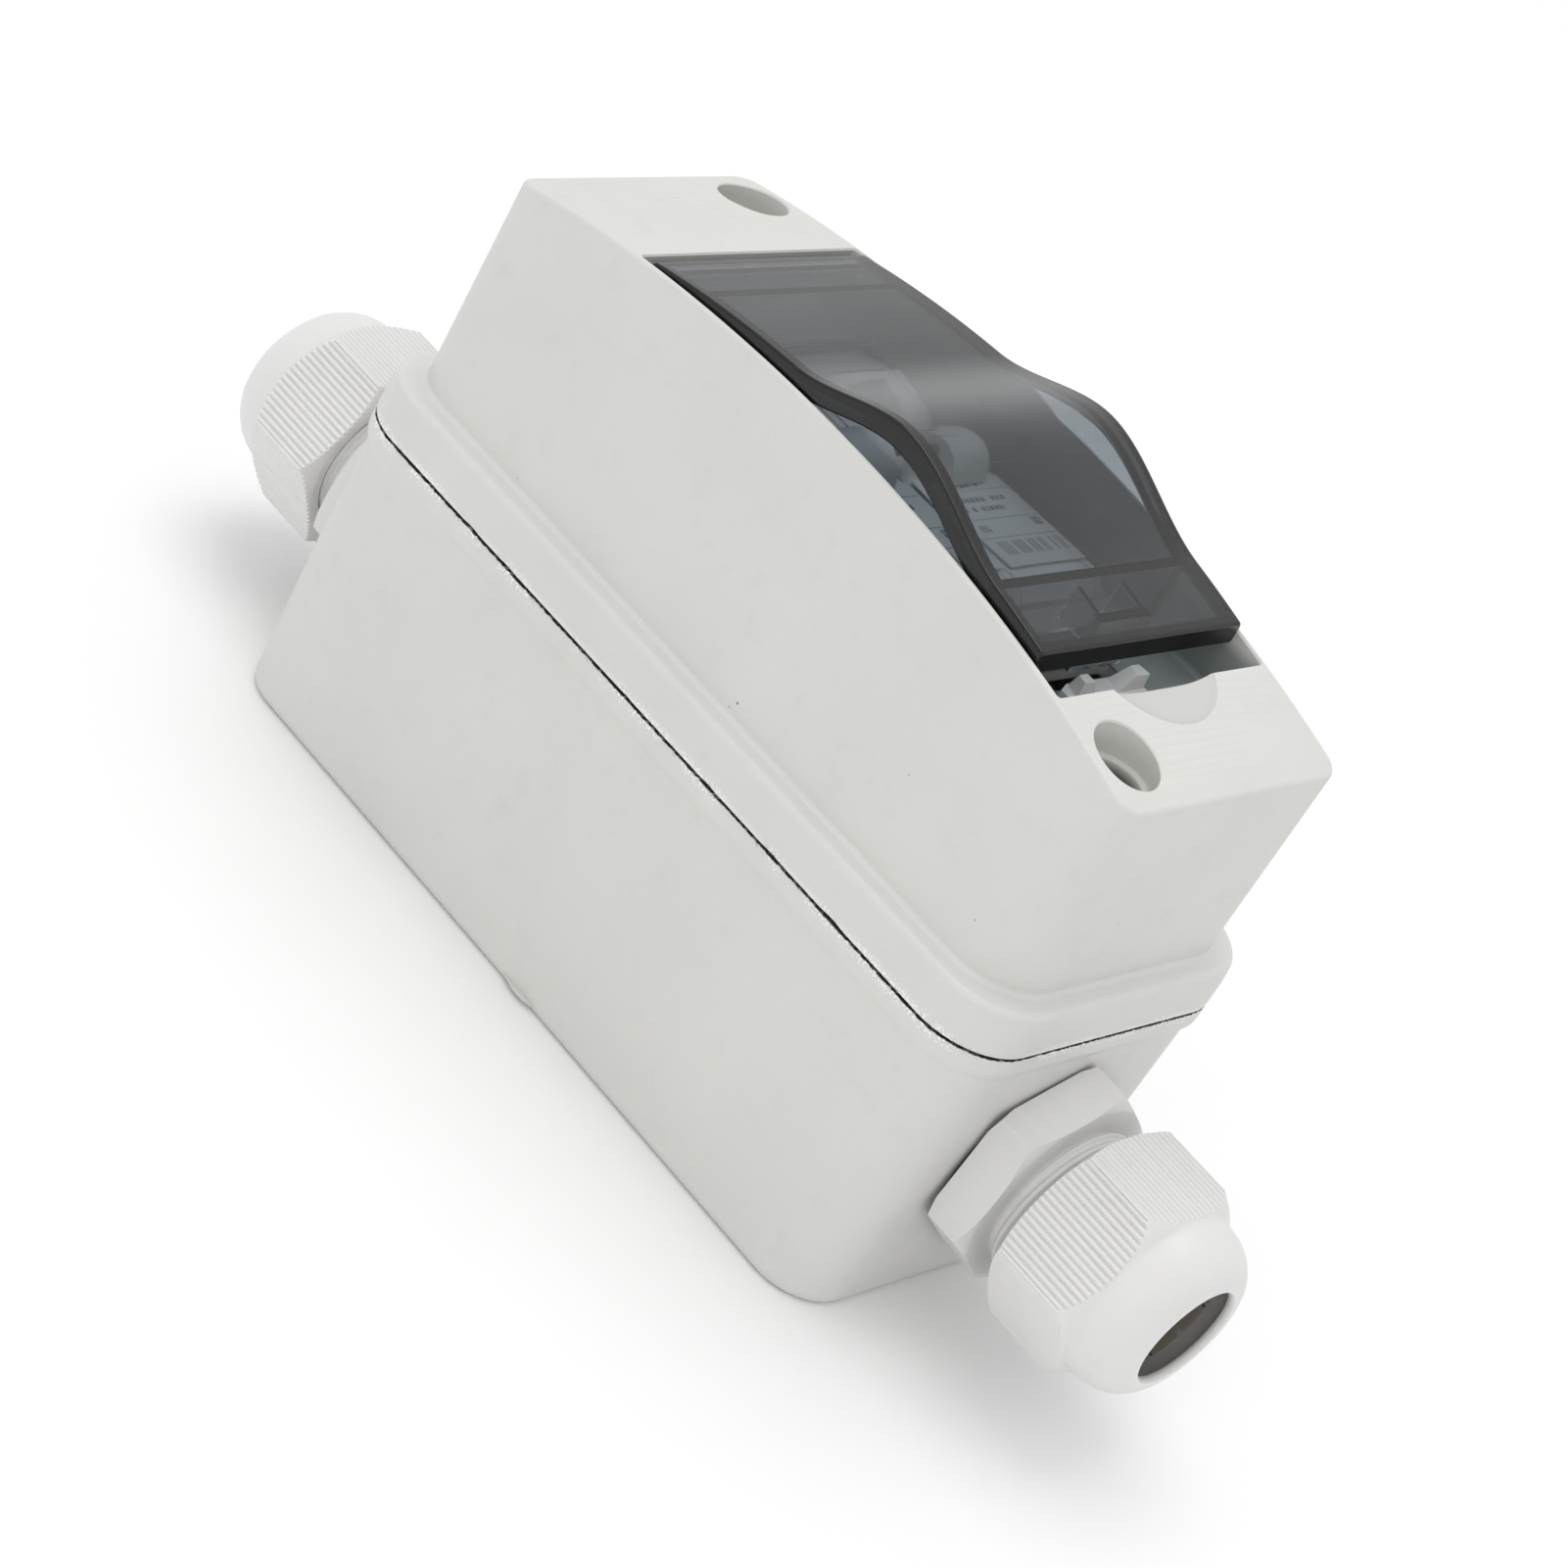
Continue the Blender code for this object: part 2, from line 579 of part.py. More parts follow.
# ---- base ------------------------------------------------------------------------------
def build_base():
    rim = (RIM_WIDTH / 2, RIM_LENGTH / 2, RIM_RADIUS)
    top = SEAM_Z - SEAM_GAP / 2
    sections = [(*inset(base_wall_at(z), depth), z) for depth, z in BACK_EDGE]
    sections.append((*base_wall_at(BASE_BLEND_Z), BASE_BLEND_Z))
    sections += [(*inset(rim, depth), z) for depth, z in RIM_FOOT]
    sections.append((*rim, top))
    base = add_part("base_case", loft_mesh("base_case", sections), PLASTIC_GREY, 0.45)

    fillet_depth, fillet_height = FLOOR_FILLET
    hollow = [(*inset(base_wall_at(0), WALL + fillet_depth), BASE_FLOOR),
              (*inset(base_wall_at(0), WALL), BASE_FLOOR + fillet_height),
              (*inset(base_wall_at(SEAM_Z), WALL), SEAM_Z + 5 * PAST)]
    cut(base, add_cutter("base_hollow", loft_mesh("base_hollow", hollow)))

    add_posts(base)
    add_gland_openings(base)
    add_seam_seal(base, rim, top)
    for side, sign in SIDES:
        wall = BASE_BOTTOM_WIDTH / 2
        low_x, high_x = sorted((sign * (wall - LUG_LOW.x), sign * (wall + LUG_HIGH.x)))
        lug = box_mesh("wall_lug_" + side, (low_x, LUG_LOW.y, LUG_LOW.z), (high_x, LUG_HIGH.y, LUG_HIGH.z))
        join(base, add_cutter("wall_lug_" + side, lug))


def add_posts(base):
    """Posts that carry the rail and bosses that take the lid screws, each with its pilot hole."""
    rail_seat = RAIL_FRONT_Z - RAIL_DEPTH - GAP
    for side, sign in SIDES:
        place = (sign * RAIL_SCREW_X, 0)
        post = upright_mesh("rail_post_" + side, place, ROOT, rail_seat, RAIL_POST_RADIUS)
        join(base, add_cutter("rail_post_" + side, post))
        cut_upright(base, "rail_pilot_" + side, place, RAIL_PILOT_LOW_Z, rail_seat + PAST, RAIL_HOLE_RADIUS)
    for end, place in SCREW_PLACES.items():
        boss_top = SEAM_Z - BOSS_DROP
        boss = upright_mesh("boss_" + end, place, ROOT, boss_top, BOSS_RADIUS)
        join(base, add_cutter("boss_" + end, boss))
        cut_upright(base, "boss_pilot_" + end, place, BOSS_PILOT_LOW_Z, boss_top + PAST,
                    SCREW_SHANK_RADIUS + GAP)


def add_gland_openings(base):
    """A round entry and a flat seat in each end wall, and the holes that fix the box to a wall."""
    for end, sign in ENDS:
        wall_y = sign * base_wall_at(GLAND_Z)[1]
        cut_rod(base, "gland_entry_" + end, "Y", (0, wall_y, GLAND_Z), GLAND_THREAD_RADIUS + GAP,
                4 * WALL, ROUND_STEPS)
        seat_y = wall_y + sign * GLAND_SEAT_DEPTH / 2
        cut_rod(base, "gland_seat_" + end, "Y", (0, seat_y, GLAND_Z), GLAND_SEAT_RADIUS,
                GLAND_SEAT_DEPTH, ROUND_STEPS)
        cut_upright(base, "mounting_hole_" + end, (0, sign * MOUNT_HOLE_Y), -PAST, BASE_FLOOR + PAST,
                    MOUNT_HOLE_RADIUS)


def add_seam_seal(base, rim, top):
    line = inset(rim, SEAL_LINE)
    half_width = SEAL_GROOVE_WIDTH / 2
    groove = frame_mesh("seal_groove", inset(line, -half_width), inset(line, half_width),
                        top - SEAL_GROOVE_DEPTH, top + PAST)
    cut(base, add_cutter("seal_groove", groove))
    seal_low = top - SEAL_GROOVE_DEPTH + GAP
    seal = frame_mesh("seam_gasket", inset(line, -SEAL_WIDTH / 2), inset(line, SEAL_WIDTH / 2),
                      seal_low, seal_low + SEAL_HEIGHT)
    add_part("seam_gasket", seal, RUBBER_BLACK, 0.9)


# ---- lid -------------------------------------------------------------------------------
def build_lid():
    rim = (RIM_WIDTH / 2, RIM_LENGTH / 2, RIM_RADIUS)
    bottom = SEAM_Z + SEAM_GAP / 2
    wall_foot_z = FLANGE_TOP_Z + ROOT
    sections = [(*rim, bottom)]
    sections += [(*inset(rim, depth), z) for depth, z in LID_SHOULDER]
    sections += [(*lid_wall_at(wall_foot_z), wall_foot_z), (*lid_wall_at(LID_BLANK_Z), LID_BLANK_Z)]
    lid = add_part("lid", loft_mesh("lid", sections), PLASTIC_GREY, 0.45)

    over = [(y, arch_z(y)) for y in spread(-ARCH_SPAN, ARCH_SPAN, ARCH_STEPS)]
    over += [(ARCH_SPAN, LID_BLANK_Z + PAST), (-ARCH_SPAN, LID_BLANK_Z + PAST)]
    cut(lid, add_cutter("above_lid", prism_mesh("above_lid", over, -RIM_WIDTH, RIM_WIDTH)))

    inside = [(*inset(rim, LID_RIM_WALL), bottom - PAST),
              (*inset(rim, LID_RIM_WALL), FLANGE_TOP_Z - WALL),
              (*inset(lid_wall_at(FLANGE_TOP_Z), LID_WALL), FLANGE_TOP_Z - PAST),
              (*inset(lid_wall_at(LID_CEILING_Z), LID_WALL), LID_CEILING_Z)]
    cut(lid, add_cutter("lid_hollow", loft_mesh("lid_hollow", inside)))

    floor_low = POCKET_FLOOR_Z - POCKET_FLOOR_THICK
    low_y, high_y = POCKET_LOW_Y - TRAY_WALL.y, POCKET_HIGH_Y + TRAY_WALL.y
    half_x = POCKET_HALF_X + TRAY_WALL.x
    outline = [(y, arch_z(y) - ROOT) for y in spread(low_y, high_y, TRAY_STEPS)]
    outline += box_outline(low_y, high_y, floor_low)
    join(lid, add_cutter("pocket_tray", prism_mesh("pocket_tray", outline, -half_x, half_x)))
    add_screw_wells(lid)

    cut_box(lid, "window_pocket", (-POCKET_HALF_X, POCKET_LOW_Y, POCKET_FLOOR_Z),
            (POCKET_HALF_X, POCKET_HIGH_Y, WELL_TOP_Z))
    cut_box(lid, "nose_slot", (-NOSE_SLOT.x, -NOSE_SLOT.y, floor_low - PAST),
            (NOSE_SLOT.x, NOSE_SLOT.y, POCKET_FLOOR_Z + PAST))
    cut_box(lid, "catch_slot", (-CATCH_SLOT_HALF_X, CATCH_SLOT_LOW_Y, floor_low - PAST),
            (CATCH_SLOT_HALF_X, CATCH_SLOT_HIGH_Y, POCKET_FLOOR_Z + PAST))
    cut_finger_scoop(lid)
    cut_rod(lid, "hinge_sockets", "X", (0, HINGE_Y, HINGE_Z), HINGE_PIN_RADIUS + GAP, HINGE_SOCKET_LENGTH)
    pin = rod_mesh("window_hinge_pin", "X", (0, HINGE_Y, HINGE_Z), HINGE_PIN_RADIUS, HINGE_PIN_LENGTH)
    add_part("window_hinge_pin", pin, STEEL, 0.3, 1.0)
    add_window_catch()
    add_window_gasket()


def add_screw_wells(lid):
    """A tube through the lid for each screw, with a seat at its foot for the sealing washer."""
    for end, place in SCREW_PLACES.items():
        tube = upright_mesh("well_tube_" + end, place, WELL_SEAT_Z - WELL_SEAT_THICK, LID_CEILING_Z + ROOT,
                            WELL_TUBE_RADIUS, WELL_STEPS)
        join(lid, add_cutter("well_tube_" + end, tube))
        cut_upright(lid, "well_" + end, place, WELL_SEAT_Z, WELL_TOP_Z, WELL_RADIUS, WELL_STEPS)
        cut_upright(lid, "shank_hole_" + end, place, WELL_SEAT_Z - 2 * WELL_SEAT_THICK, WELL_SEAT_Z + PAST,
                    SCREW_SHANK_RADIUS + GAP)


def cut_finger_scoop(lid):
    """A shallow ball-shaped dish at the window's front edge."""
    centre_z = arch_z(SCOOP_LEVEL_Y) + math.sqrt(SCOOP_BALL_RADIUS ** 2 - SCOOP_RIM_RADIUS ** 2)
    bm = bmesh.new()
    bmesh.ops.create_uvsphere(bm, u_segments=48, v_segments=64, radius=SCOOP_BALL_RADIUS,
                              matrix=Matrix.Translation((0, SCOOP_Y, centre_z)))
    cut(lid, add_cutter("finger_scoop", mesh_from(bm, "finger_scoop")))


def add_window_catch():
    low_z = POCKET_FLOOR_Z + GAP
    bm = bmesh.new()
    face = bm.faces.new([bm.verts.new((x * MM, y * MM, low_z)) for x, y in CATCH_OUTLINE])
    grown = bmesh.ops.extrude_face_region(bm, geom=[face])
    raised = [item for item in grown["geom"] if isinstance(item, bmesh.types.BMVert)]
    bmesh.ops.translate(bm, vec=(0, 0, CATCH_HEIGHT), verts=raised)
    add_part("window_catch", mesh_from(bm, "window_catch"), GLAND_WHITE, 0.4)


def add_window_gasket():
    half_y = (FRAME_HIGH_Y - FRAME_LOW_Y) / 2
    outer_radius, inner_radius = FRAME_SEAL_RADII
    ring = frame_mesh("window_gasket",
                      (FRAME_HALF_X + FRAME_SEAL_OUT, half_y + FRAME_SEAL_OUT, outer_radius),
                      (FRAME_HALF_X - FRAME_SEAL_IN, half_y - FRAME_SEAL_IN, inner_radius),
                      POCKET_FLOOR_Z + GAP, FRAME_FOOT_Z - GAP, 3)
    gasket = add_part("window_gasket", ring, RUBBER_BLACK, 0.9)
    gasket.location = (0, (FRAME_HIGH_Y + FRAME_LOW_Y) / 2, 0)


# ---- window ----------------------------------------------------------------------------
def build_window():
    outer = under_window(WINDOW_LOW_Y, WINDOW_HIGH_Y, 0, WINDOW_STEPS)
    outer += reversed(under_window(WINDOW_LOW_Y, WINDOW_HIGH_Y, WINDOW_RIM_DEPTH, WINDOW_STEPS))
    window = add_part("window", prism_mesh("window", outer, -WINDOW_HALF_X, WINDOW_HALF_X), SMOKED, 0.1)

    low_y, high_y = WINDOW_LOW_Y + WINDOW_RIM_THICK, WINDOW_HIGH_Y + 3 * PAST
    under = under_window(low_y, high_y, WINDOW_SHEET, WINDOW_STEPS)
    under += reversed(under_window(low_y, high_y, WINDOW_RIM_DEPTH + 5 * PAST, WINDOW_STEPS))
    half_x = WINDOW_HALF_X - WINDOW_RIM_THICK
    cut(window, add_cutter("window_under", prism_mesh("window_under", under, -half_x, half_x)))

    join(window, window_frame_cutter())
    barrel = rod_mesh("hinge_barrel", "X", (0, HINGE_Y, HINGE_Z), HINGE_BARREL_RADIUS, HINGE_BARREL_LENGTH)
    join(window, add_cutter("hinge_barrel", barrel))
    cut_rod(window, "hinge_bore", "X", (0, HINGE_Y, HINGE_Z), HINGE_PIN_RADIUS + GAP, RIM_WIDTH)

    tongue = under_window(TONGUE_LOW_Y, TONGUE_HIGH_Y, ROOT, 2)
    tongue += box_outline(TONGUE_LOW_Y, TONGUE_HIGH_Y, TONGUE_FOOT_Z)
    tongue_mesh = prism_mesh("catch_tongue", tongue, -TONGUE_HALF_X, TONGUE_HALF_X)
    join(window, add_cutter("catch_tongue", tongue_mesh))
    set_origin(window, (0, HINGE_Y, HINGE_Z))


def window_frame_cutter():
    """The wall that stands under the sheet and presses on the window's gasket."""
    outline = under_window(FRAME_LOW_Y, FRAME_HIGH_Y, ROOT, FRAME_STEPS)
    outline += box_outline(FRAME_LOW_Y, FRAME_HIGH_Y, FRAME_FOOT_Z)
    frame = add_cutter("window_frame", prism_mesh("window_frame", outline, -FRAME_HALF_X, FRAME_HALF_X))
    low_y, high_y = FRAME_LOW_Y + FRAME_THICK, FRAME_HIGH_Y - FRAME_THICK
    room = under_window(low_y, high_y, WINDOW_SHEET, FRAME_STEPS + 2)
    room += box_outline(low_y, high_y, FRAME_FOOT_Z - 5 * PAST)
    half_x = FRAME_HALF_X - FRAME_THICK
    cut(frame, add_cutter("window_room", prism_mesh("window_room", room, -half_x, half_x)))
    return frame


# ---- lid screws ------------------------------------------------------------------------
def build_lid_screws():
    washer_low = WELL_SEAT_Z + GAP
    washer_high = washer_low + SCREW_SEAL_THICK
    head_low = washer_high + GAP
    head_high = head_low + SCREW_HEAD_HEIGHT
    bore = SCREW_SHANK_RADIUS + GAP
    profile = [(0, head_high), (SCREW_HEAD_RADIUS - SCREW_HEAD_BEVEL.x, head_high),
               (SCREW_HEAD_RADIUS, head_high - SCREW_HEAD_BEVEL.y), (SCREW_HEAD_RADIUS, head_low),
               (SCREW_SHANK_RADIUS, head_low), (SCREW_SHANK_RADIUS, SCREW_TIP_Z + SCREW_POINT_LENGTH),
               (SCREW_POINT_RADIUS, SCREW_TIP_Z), (0, SCREW_TIP_Z)]
    washer_profile = [(SCREW_SEAL_RADIUS, washer_high), (SCREW_SEAL_RADIUS, washer_low),
                      (bore, washer_low), (bore, washer_high)]
    recess_sides = (("a", RECESS_HALF_LENGTH, RECESS_HALF_WIDTH),
                    ("b", RECESS_HALF_WIDTH, RECESS_HALF_LENGTH))
    for end, (x, y) in SCREW_PLACES.items():
        screw = turned_part("lid_screw_" + end, profile, STEEL, 0.35, 1.0)
        screw.location = (x, y, 0)
        for name, half_x, half_y in recess_sides:
            cut_box(screw, "recess_%s_%s" % (name, end), (x - half_x, y - half_y, head_high - RECESS_DEPTH),
                    (x + half_x, y + half_y, head_high + PAST))
        washer = turned_part("screw_seal_" + end, washer_profile, RUBBER_BLACK, 0.9, closed=True)
        washer.location = (x, y, 0)


# ---- rail ------------------------------------------------------------------------------
def build_rail():
    front, back = RAIL_FRONT_Z, RAIL_FRONT_Z - RAIL_DEPTH
    sheet, wing, web = RAIL_SHEET, RAIL_WIDTH / 2, RAIL_WEB / 2
    half_outline = [(web + sheet, front - sheet), (wing, front - sheet), (wing, front), (web, front),
                    (web, back + sheet)]
    outline = half_outline + [(-y, z) for y, z in reversed(half_outline)]
    outline += [(-web - sheet, back), (web + sheet, back)]
    rail = add_part("din_rail", prism_mesh("din_rail", outline, -RAIL_HALF_LENGTH, RAIL_HALF_LENGTH),
                    ZINC, 0.35, 1.0)
    head_low = back + sheet + GAP
    profile = [(0, head_low + RAIL_SCREW_HEAD[0][1])]
    profile += [(radius, head_low + height) for radius, height in RAIL_SCREW_HEAD]
    profile += [(RAIL_SCREW_SHANK[0][0], head_low), *RAIL_SCREW_SHANK, (0, RAIL_SCREW_SHANK[-1][1])]
    for side, sign in SIDES:
        x = sign * RAIL_SCREW_X
        cut_upright(rail, "rail_hole_" + side, (x, 0), back - PAST, back + sheet + PAST, RAIL_HOLE_RADIUS)
        screw = turned_part("rail_screw_" + side, profile, STEEL, 0.35, 1.0, steps=20)
        screw.location = (x, 0, 0)


# ---- breaker ---------------------------------------------------------------------------
def pole_outline(shrink=0.0):
    """Side view of one breaker pole as (y, z); shrink moves every side inwards."""
    end, nose = POLE_HALF_LENGTH - shrink, NOSE_HALF_LENGTH - shrink
    back, front, shoulder = POLE_BACK_Z + shrink, NOSE_Z - shrink, SHOULDER_Z - shrink
    notch_z = RAIL_FRONT_Z + GAP + shrink
    notch = RAIL_WIDTH / 2 + GAP + shrink
    outline = [(-end, back), (-notch, back), (-notch, notch_z), (notch, notch_z)]
    if shrink == 0.0:
        hook_y = notch - HOOK_REACH
        hook_z = RAIL_FRONT_Z - RAIL_SHEET - GAP
        outline += [(notch, hook_z), (hook_y, hook_z), (hook_y, hook_z - HOOK_HEIGHT)]
    outline += [(notch, back), (end, back), (end, shoulder), (nose, shoulder), (nose, front - NOSE_CORNER),
                (nose - NOSE_CORNER, front), (-nose + NOSE_CORNER, front), (-nose, front - NOSE_CORNER),
                (-nose, shoulder), (-end, shoulder)]
    return outline


def build_pole(side, centre_x):
    low_x, high_x = centre_x - POLE_WIDTH / 2, centre_x + POLE_WIDTH / 2
    case_high = high_x - POLE_COVER - GAP
    middle = (low_x + case_high + POLE_SKIN) / 2
    case_mesh = prism_mesh("pole_case_" + side, pole_outline(), low_x, case_high)
    cover_mesh = prism_mesh("pole_cover_" + side, pole_outline(), high_x - POLE_COVER, high_x)
    case = add_part("pole_case_" + side, case_mesh, BREAKER_GREY)
    cover = add_part("pole_cover_" + side, cover_mesh, BREAKER_GREY)
    room = prism_mesh("pole_room_" + side, pole_outline(POLE_SKIN), low_x + POLE_SKIN, case_high + PAST)
    cut(case, add_cutter("pole_room_" + side, room))

    slot_half = LEVER_WIDTH / 2 + GAP
    cut_box(case, "lever_slot_" + side, (middle - slot_half, SLOT_LOW_Y, SLOT_LOW_Z),
            (middle + slot_half, SLOT_HIGH_Y, NOSE_Z + PAST))
    for pin, y, z in (("lever", LEVER_Y, LEVER_Z), ("contact", CONTACT_Y, CONTACT_Z)):
        hole = rod_mesh(pin + "_hole_" + side, "X", (centre_x, y, z), PIN_BORE_RADIUS, POLE_PITCH)
        hole_cutter = add_cutter(pin + "_hole_" + side, hole)
        cut(case, hole_cutter)
        cut(cover, hole_cutter)
    build_rail_clip(side, case, middle)
    for end, sign in (("line", -1), ("load", 1)):
        build_terminal(side + "_" + end, case, middle, sign)
    build_pole_works(side, middle)
    label = box_mesh("pole_label_" + side, (low_x + LABEL_MARGIN, LABEL_LOW_Y, NOSE_Z + GAP),
                     (high_x - LABEL_MARGIN, LABEL_HIGH_Y, NOSE_Z + 2 * GAP))
    add_part("pole_label_" + side, label, GLAND_WHITE, 0.6)
    return middle


def build_rail_clip(side, case, x):
    """The sliding clip that holds the pole on the rail, in its own slot at the pole's back."""
    outside_y = -POLE_HALF_LENGTH
    half_slot = CLIP_HALF_X + GAP
    cut_box(case, "clip_room_" + side, (x - half_slot, outside_y - PAST, POLE_BACK_Z - PAST),
            (x + half_slot, -RAIL_WIDTH / 2, RAIL_FRONT_Z - RAIL_SHEET))
    low_z = POLE_BACK_Z + GAP
    mesh = box_mesh("din_clip_" + side, (x - CLIP_HALF_X, outside_y - CLIP_OUT, low_z),
                    (x + CLIP_HALF_X, CLIP_GRIP - RAIL_WIDTH / 2, low_z + CLIP_THICK))
    clip = add_part("din_clip_" + side, mesh, CLIP_BLACK, 0.5)
    cut_box(clip, "clip_pull_" + side, (x - CLIP_EYE_HALF_X, outside_y - CLIP_EYE_LOW, low_z - PAST),
            (x + CLIP_EYE_HALF_X, outside_y + CLIP_EYE_HIGH, low_z + CLIP_THICK + PAST))


def build_terminal(name, case, x, sign):
    """Box clamp with its screw, and the two openings that lead to them."""
    y = sign * TERMINAL_Y
    cut_upright(case, "driver_hole_" + name, (x, y), SHOULDER_Z - DRIVER_HOLE_DEPTH, SHOULDER_Z + PAST,
                DRIVER_HOLE_RADIUS)
    low_y, high_y = sorted((sign * (POLE_HALF_LENGTH + PAST), sign * (POLE_HALF_LENGTH - ENTRY_DEPTH)))
    cut_box(case, "wire_entry_" + name, (x - ENTRY_HALF_X, low_y, ENTRY_LOW_Z),
            (x + ENTRY_HALF_X, high_y, ENTRY_HIGH_Z))

    centre, half = Vector((x, y, CLAMP_CENTRE_Z)), CLAMP_SIZE / 2
    clamp_mesh = box_mesh("terminal_clamp_" + name, centre - half, centre + half)
    clamp = add_part("terminal_clamp_" + name, clamp_mesh, BRASS, 0.35, 1.0)
    clamp_high = centre.z + half.z
    cut_box(clamp, "clamp_mouth_" + name, (x - MOUTH_HALF_X, y - CLAMP_SIZE.y, centre.z - MOUTH_BELOW),
            (x + MOUTH_HALF_X, y + CLAMP_SIZE.y, centre.z + MOUTH_ABOVE))
    cut_upright(clamp, "clamp_thread_" + name, (x, y), centre.z + MOUTH_ABOVE / 2, clamp_high + PAST,
                TERMINAL_BORE_RADIUS)

    head_low = clamp_high + GAP
    profile = [(0, head_low + TERMINAL_HEAD[0][1])]
    profile += [(radius, head_low + height) for radius, height in TERMINAL_HEAD]
    profile += [(TERMINAL_SHANK_RADIUS, head_low), (TERMINAL_SHANK_RADIUS, TERMINAL_TIP_Z),
                (0, TERMINAL_TIP_Z)]
    screw = turned_part("terminal_screw_" + name, profile, BRASS, 0.35, 1.0, steps=20)
    screw.location = (x, y, 0)
    head_high = profile[0][1]
    slot = TERMINAL_SLOT
    cut_box(screw, "terminal_slot_" + name, (x - slot.x, y - slot.y, head_high - slot.z),
            (x + slot.x, y + slot.y, head_high + PAST))


def build_pole_works(side, x):
    """Arc chute, magnetic coil and contact arm inside one pole."""
    across = Vector((x, 0, 0))
    chute_mesh = box_mesh("arc_chute_" + side, CHUTE_LOW + across, CHUTE_HIGH + across)
    chute = add_part("arc_chute_" + side, chute_mesh, ZINC, 0.4, 1.0)
    for step in range(CHUTE_GAPS):
        z = CHUTE_GAP_LOW_Z + step * CHUTE_GAP_PITCH
        cut_box(chute, "chute_gap_%d_%s" % (step, side),
                (x + CHUTE_LOW.x - PAST, CHUTE_LOW.y + CHUTE_BACK, z),
                (x + CHUTE_HIGH.x + PAST, CHUTE_HIGH.y + PAST, z + CHUTE_GAP))

    coil_profile = [(radius * MM, along * MM) for radius, along in COIL_PROFILE]
    coil = turned_part("trip_coil_" + side, coil_profile, COPPER, 0.35, 1.0, closed=True)
    coil.location = (x, *COIL_PLACE)
    coil.rotation_euler = (math.radians(90), 0, 0)

    pivot = (x, CONTACT_Y, CONTACT_Z)
    outline = [(CONTACT_Y + y * MM, CONTACT_Z + z * MM) for y, z in ARM_OUTLINE]
    arm_mesh = prism_mesh("contact_arm_" + side, outline, x - ARM_HALF_WIDTH, x + ARM_HALF_WIDTH)
    arm = add_part("contact_arm_" + side, arm_mesh, COPPER, 0.35, 1.0)
    cut_rod(arm, "arm_hole_" + side, "X", pivot, PIN_BORE_RADIUS, POLE_PITCH)
    set_origin(arm, pivot)


def lever_outline():
    """Side view of one lever as (y, z) from its pivot: a rounded thumb piece and a hub."""
    outline = [(y * MM - LEVER_Y, z * MM - LEVER_Z) for y, z in LEVER_THUMB]
    for degrees in spread(*LEVER_HUB_ARC, LEVER_HUB_STEPS + 1):
        angle = math.radians(degrees)
        outline.append((LEVER_HUB_RADIUS * math.cos(angle), LEVER_HUB_RADIUS * math.sin(angle)))
    return outline


def build_levers(middles):
    """Both levers and the bar that ties them hang on one empty that sits on their pivot axis."""
    pivot = bpy.data.objects.new("lever_pivot", None)
    PARTS.objects.link(pivot)
    pivot.location = (0, LEVER_Y, LEVER_Z)
    tie_y, tie_z = TIE_Y - LEVER_Y, TIE_Z - LEVER_Z
    bore = add_cutter("lever_bore", rod_mesh("lever_bore", "X", (0, 0, 0), PIN_BORE_RADIUS, RIM_WIDTH))
    tie_bore = add_cutter("tie_bore", rod_mesh("tie_bore", "X", (0, tie_y, tie_z), TIE_RADIUS + TIE_FIT,
                                               RIM_WIDTH, 12))
    bore.parent = pivot
    tie_bore.parent = pivot
    for side, middle in middles.items():
        mesh = prism_mesh("breaker_lever_" + side, lever_outline(), middle - LEVER_WIDTH / 2,
                          middle + LEVER_WIDTH / 2)
        lever = add_part("breaker_lever_" + side, mesh, BREAKER_GREY, 0.4)
        lever.parent = pivot
        cut(lever, bore)
        cut(lever, tie_bore)
    low, high = min(middles.values()), max(middles.values())
    tie_mesh = rod_mesh("lever_tie_bar", "X", ((low + high) / 2, tie_y, tie_z), TIE_RADIUS,
                        high - low + LEVER_WIDTH, 12)
    tie = add_part("lever_tie_bar", tie_mesh, CLIP_BLACK, 0.5)
    tie.parent = pivot
    pin_length = 2 * POLE_PITCH - PIN_SHORT
    for name, y, z in (("lever_pin", LEVER_Y, LEVER_Z), ("contact_pin", CONTACT_Y, CONTACT_Z)):
        pin = rod_mesh(name, "X", (0, y, z), PIN_BORE_RADIUS - GAP, pin_length)
        add_part(name, pin, STEEL, 0.3, 1.0)


# ---- glands ----------------------------------------------------------------------------
# Each gland is drawn along +Z from the outer face of the wall and then turned to point out
# of its end of the box.
def place_gland_piece(part, sign):
    part.location = (0, sign * base_wall_at(GLAND_Z)[1], GLAND_Z)
    part.rotation_euler = (math.radians(-90 * sign), 0, 0)


def hex_corner(flats):
    return flats / 2 / math.cos(math.radians(30))


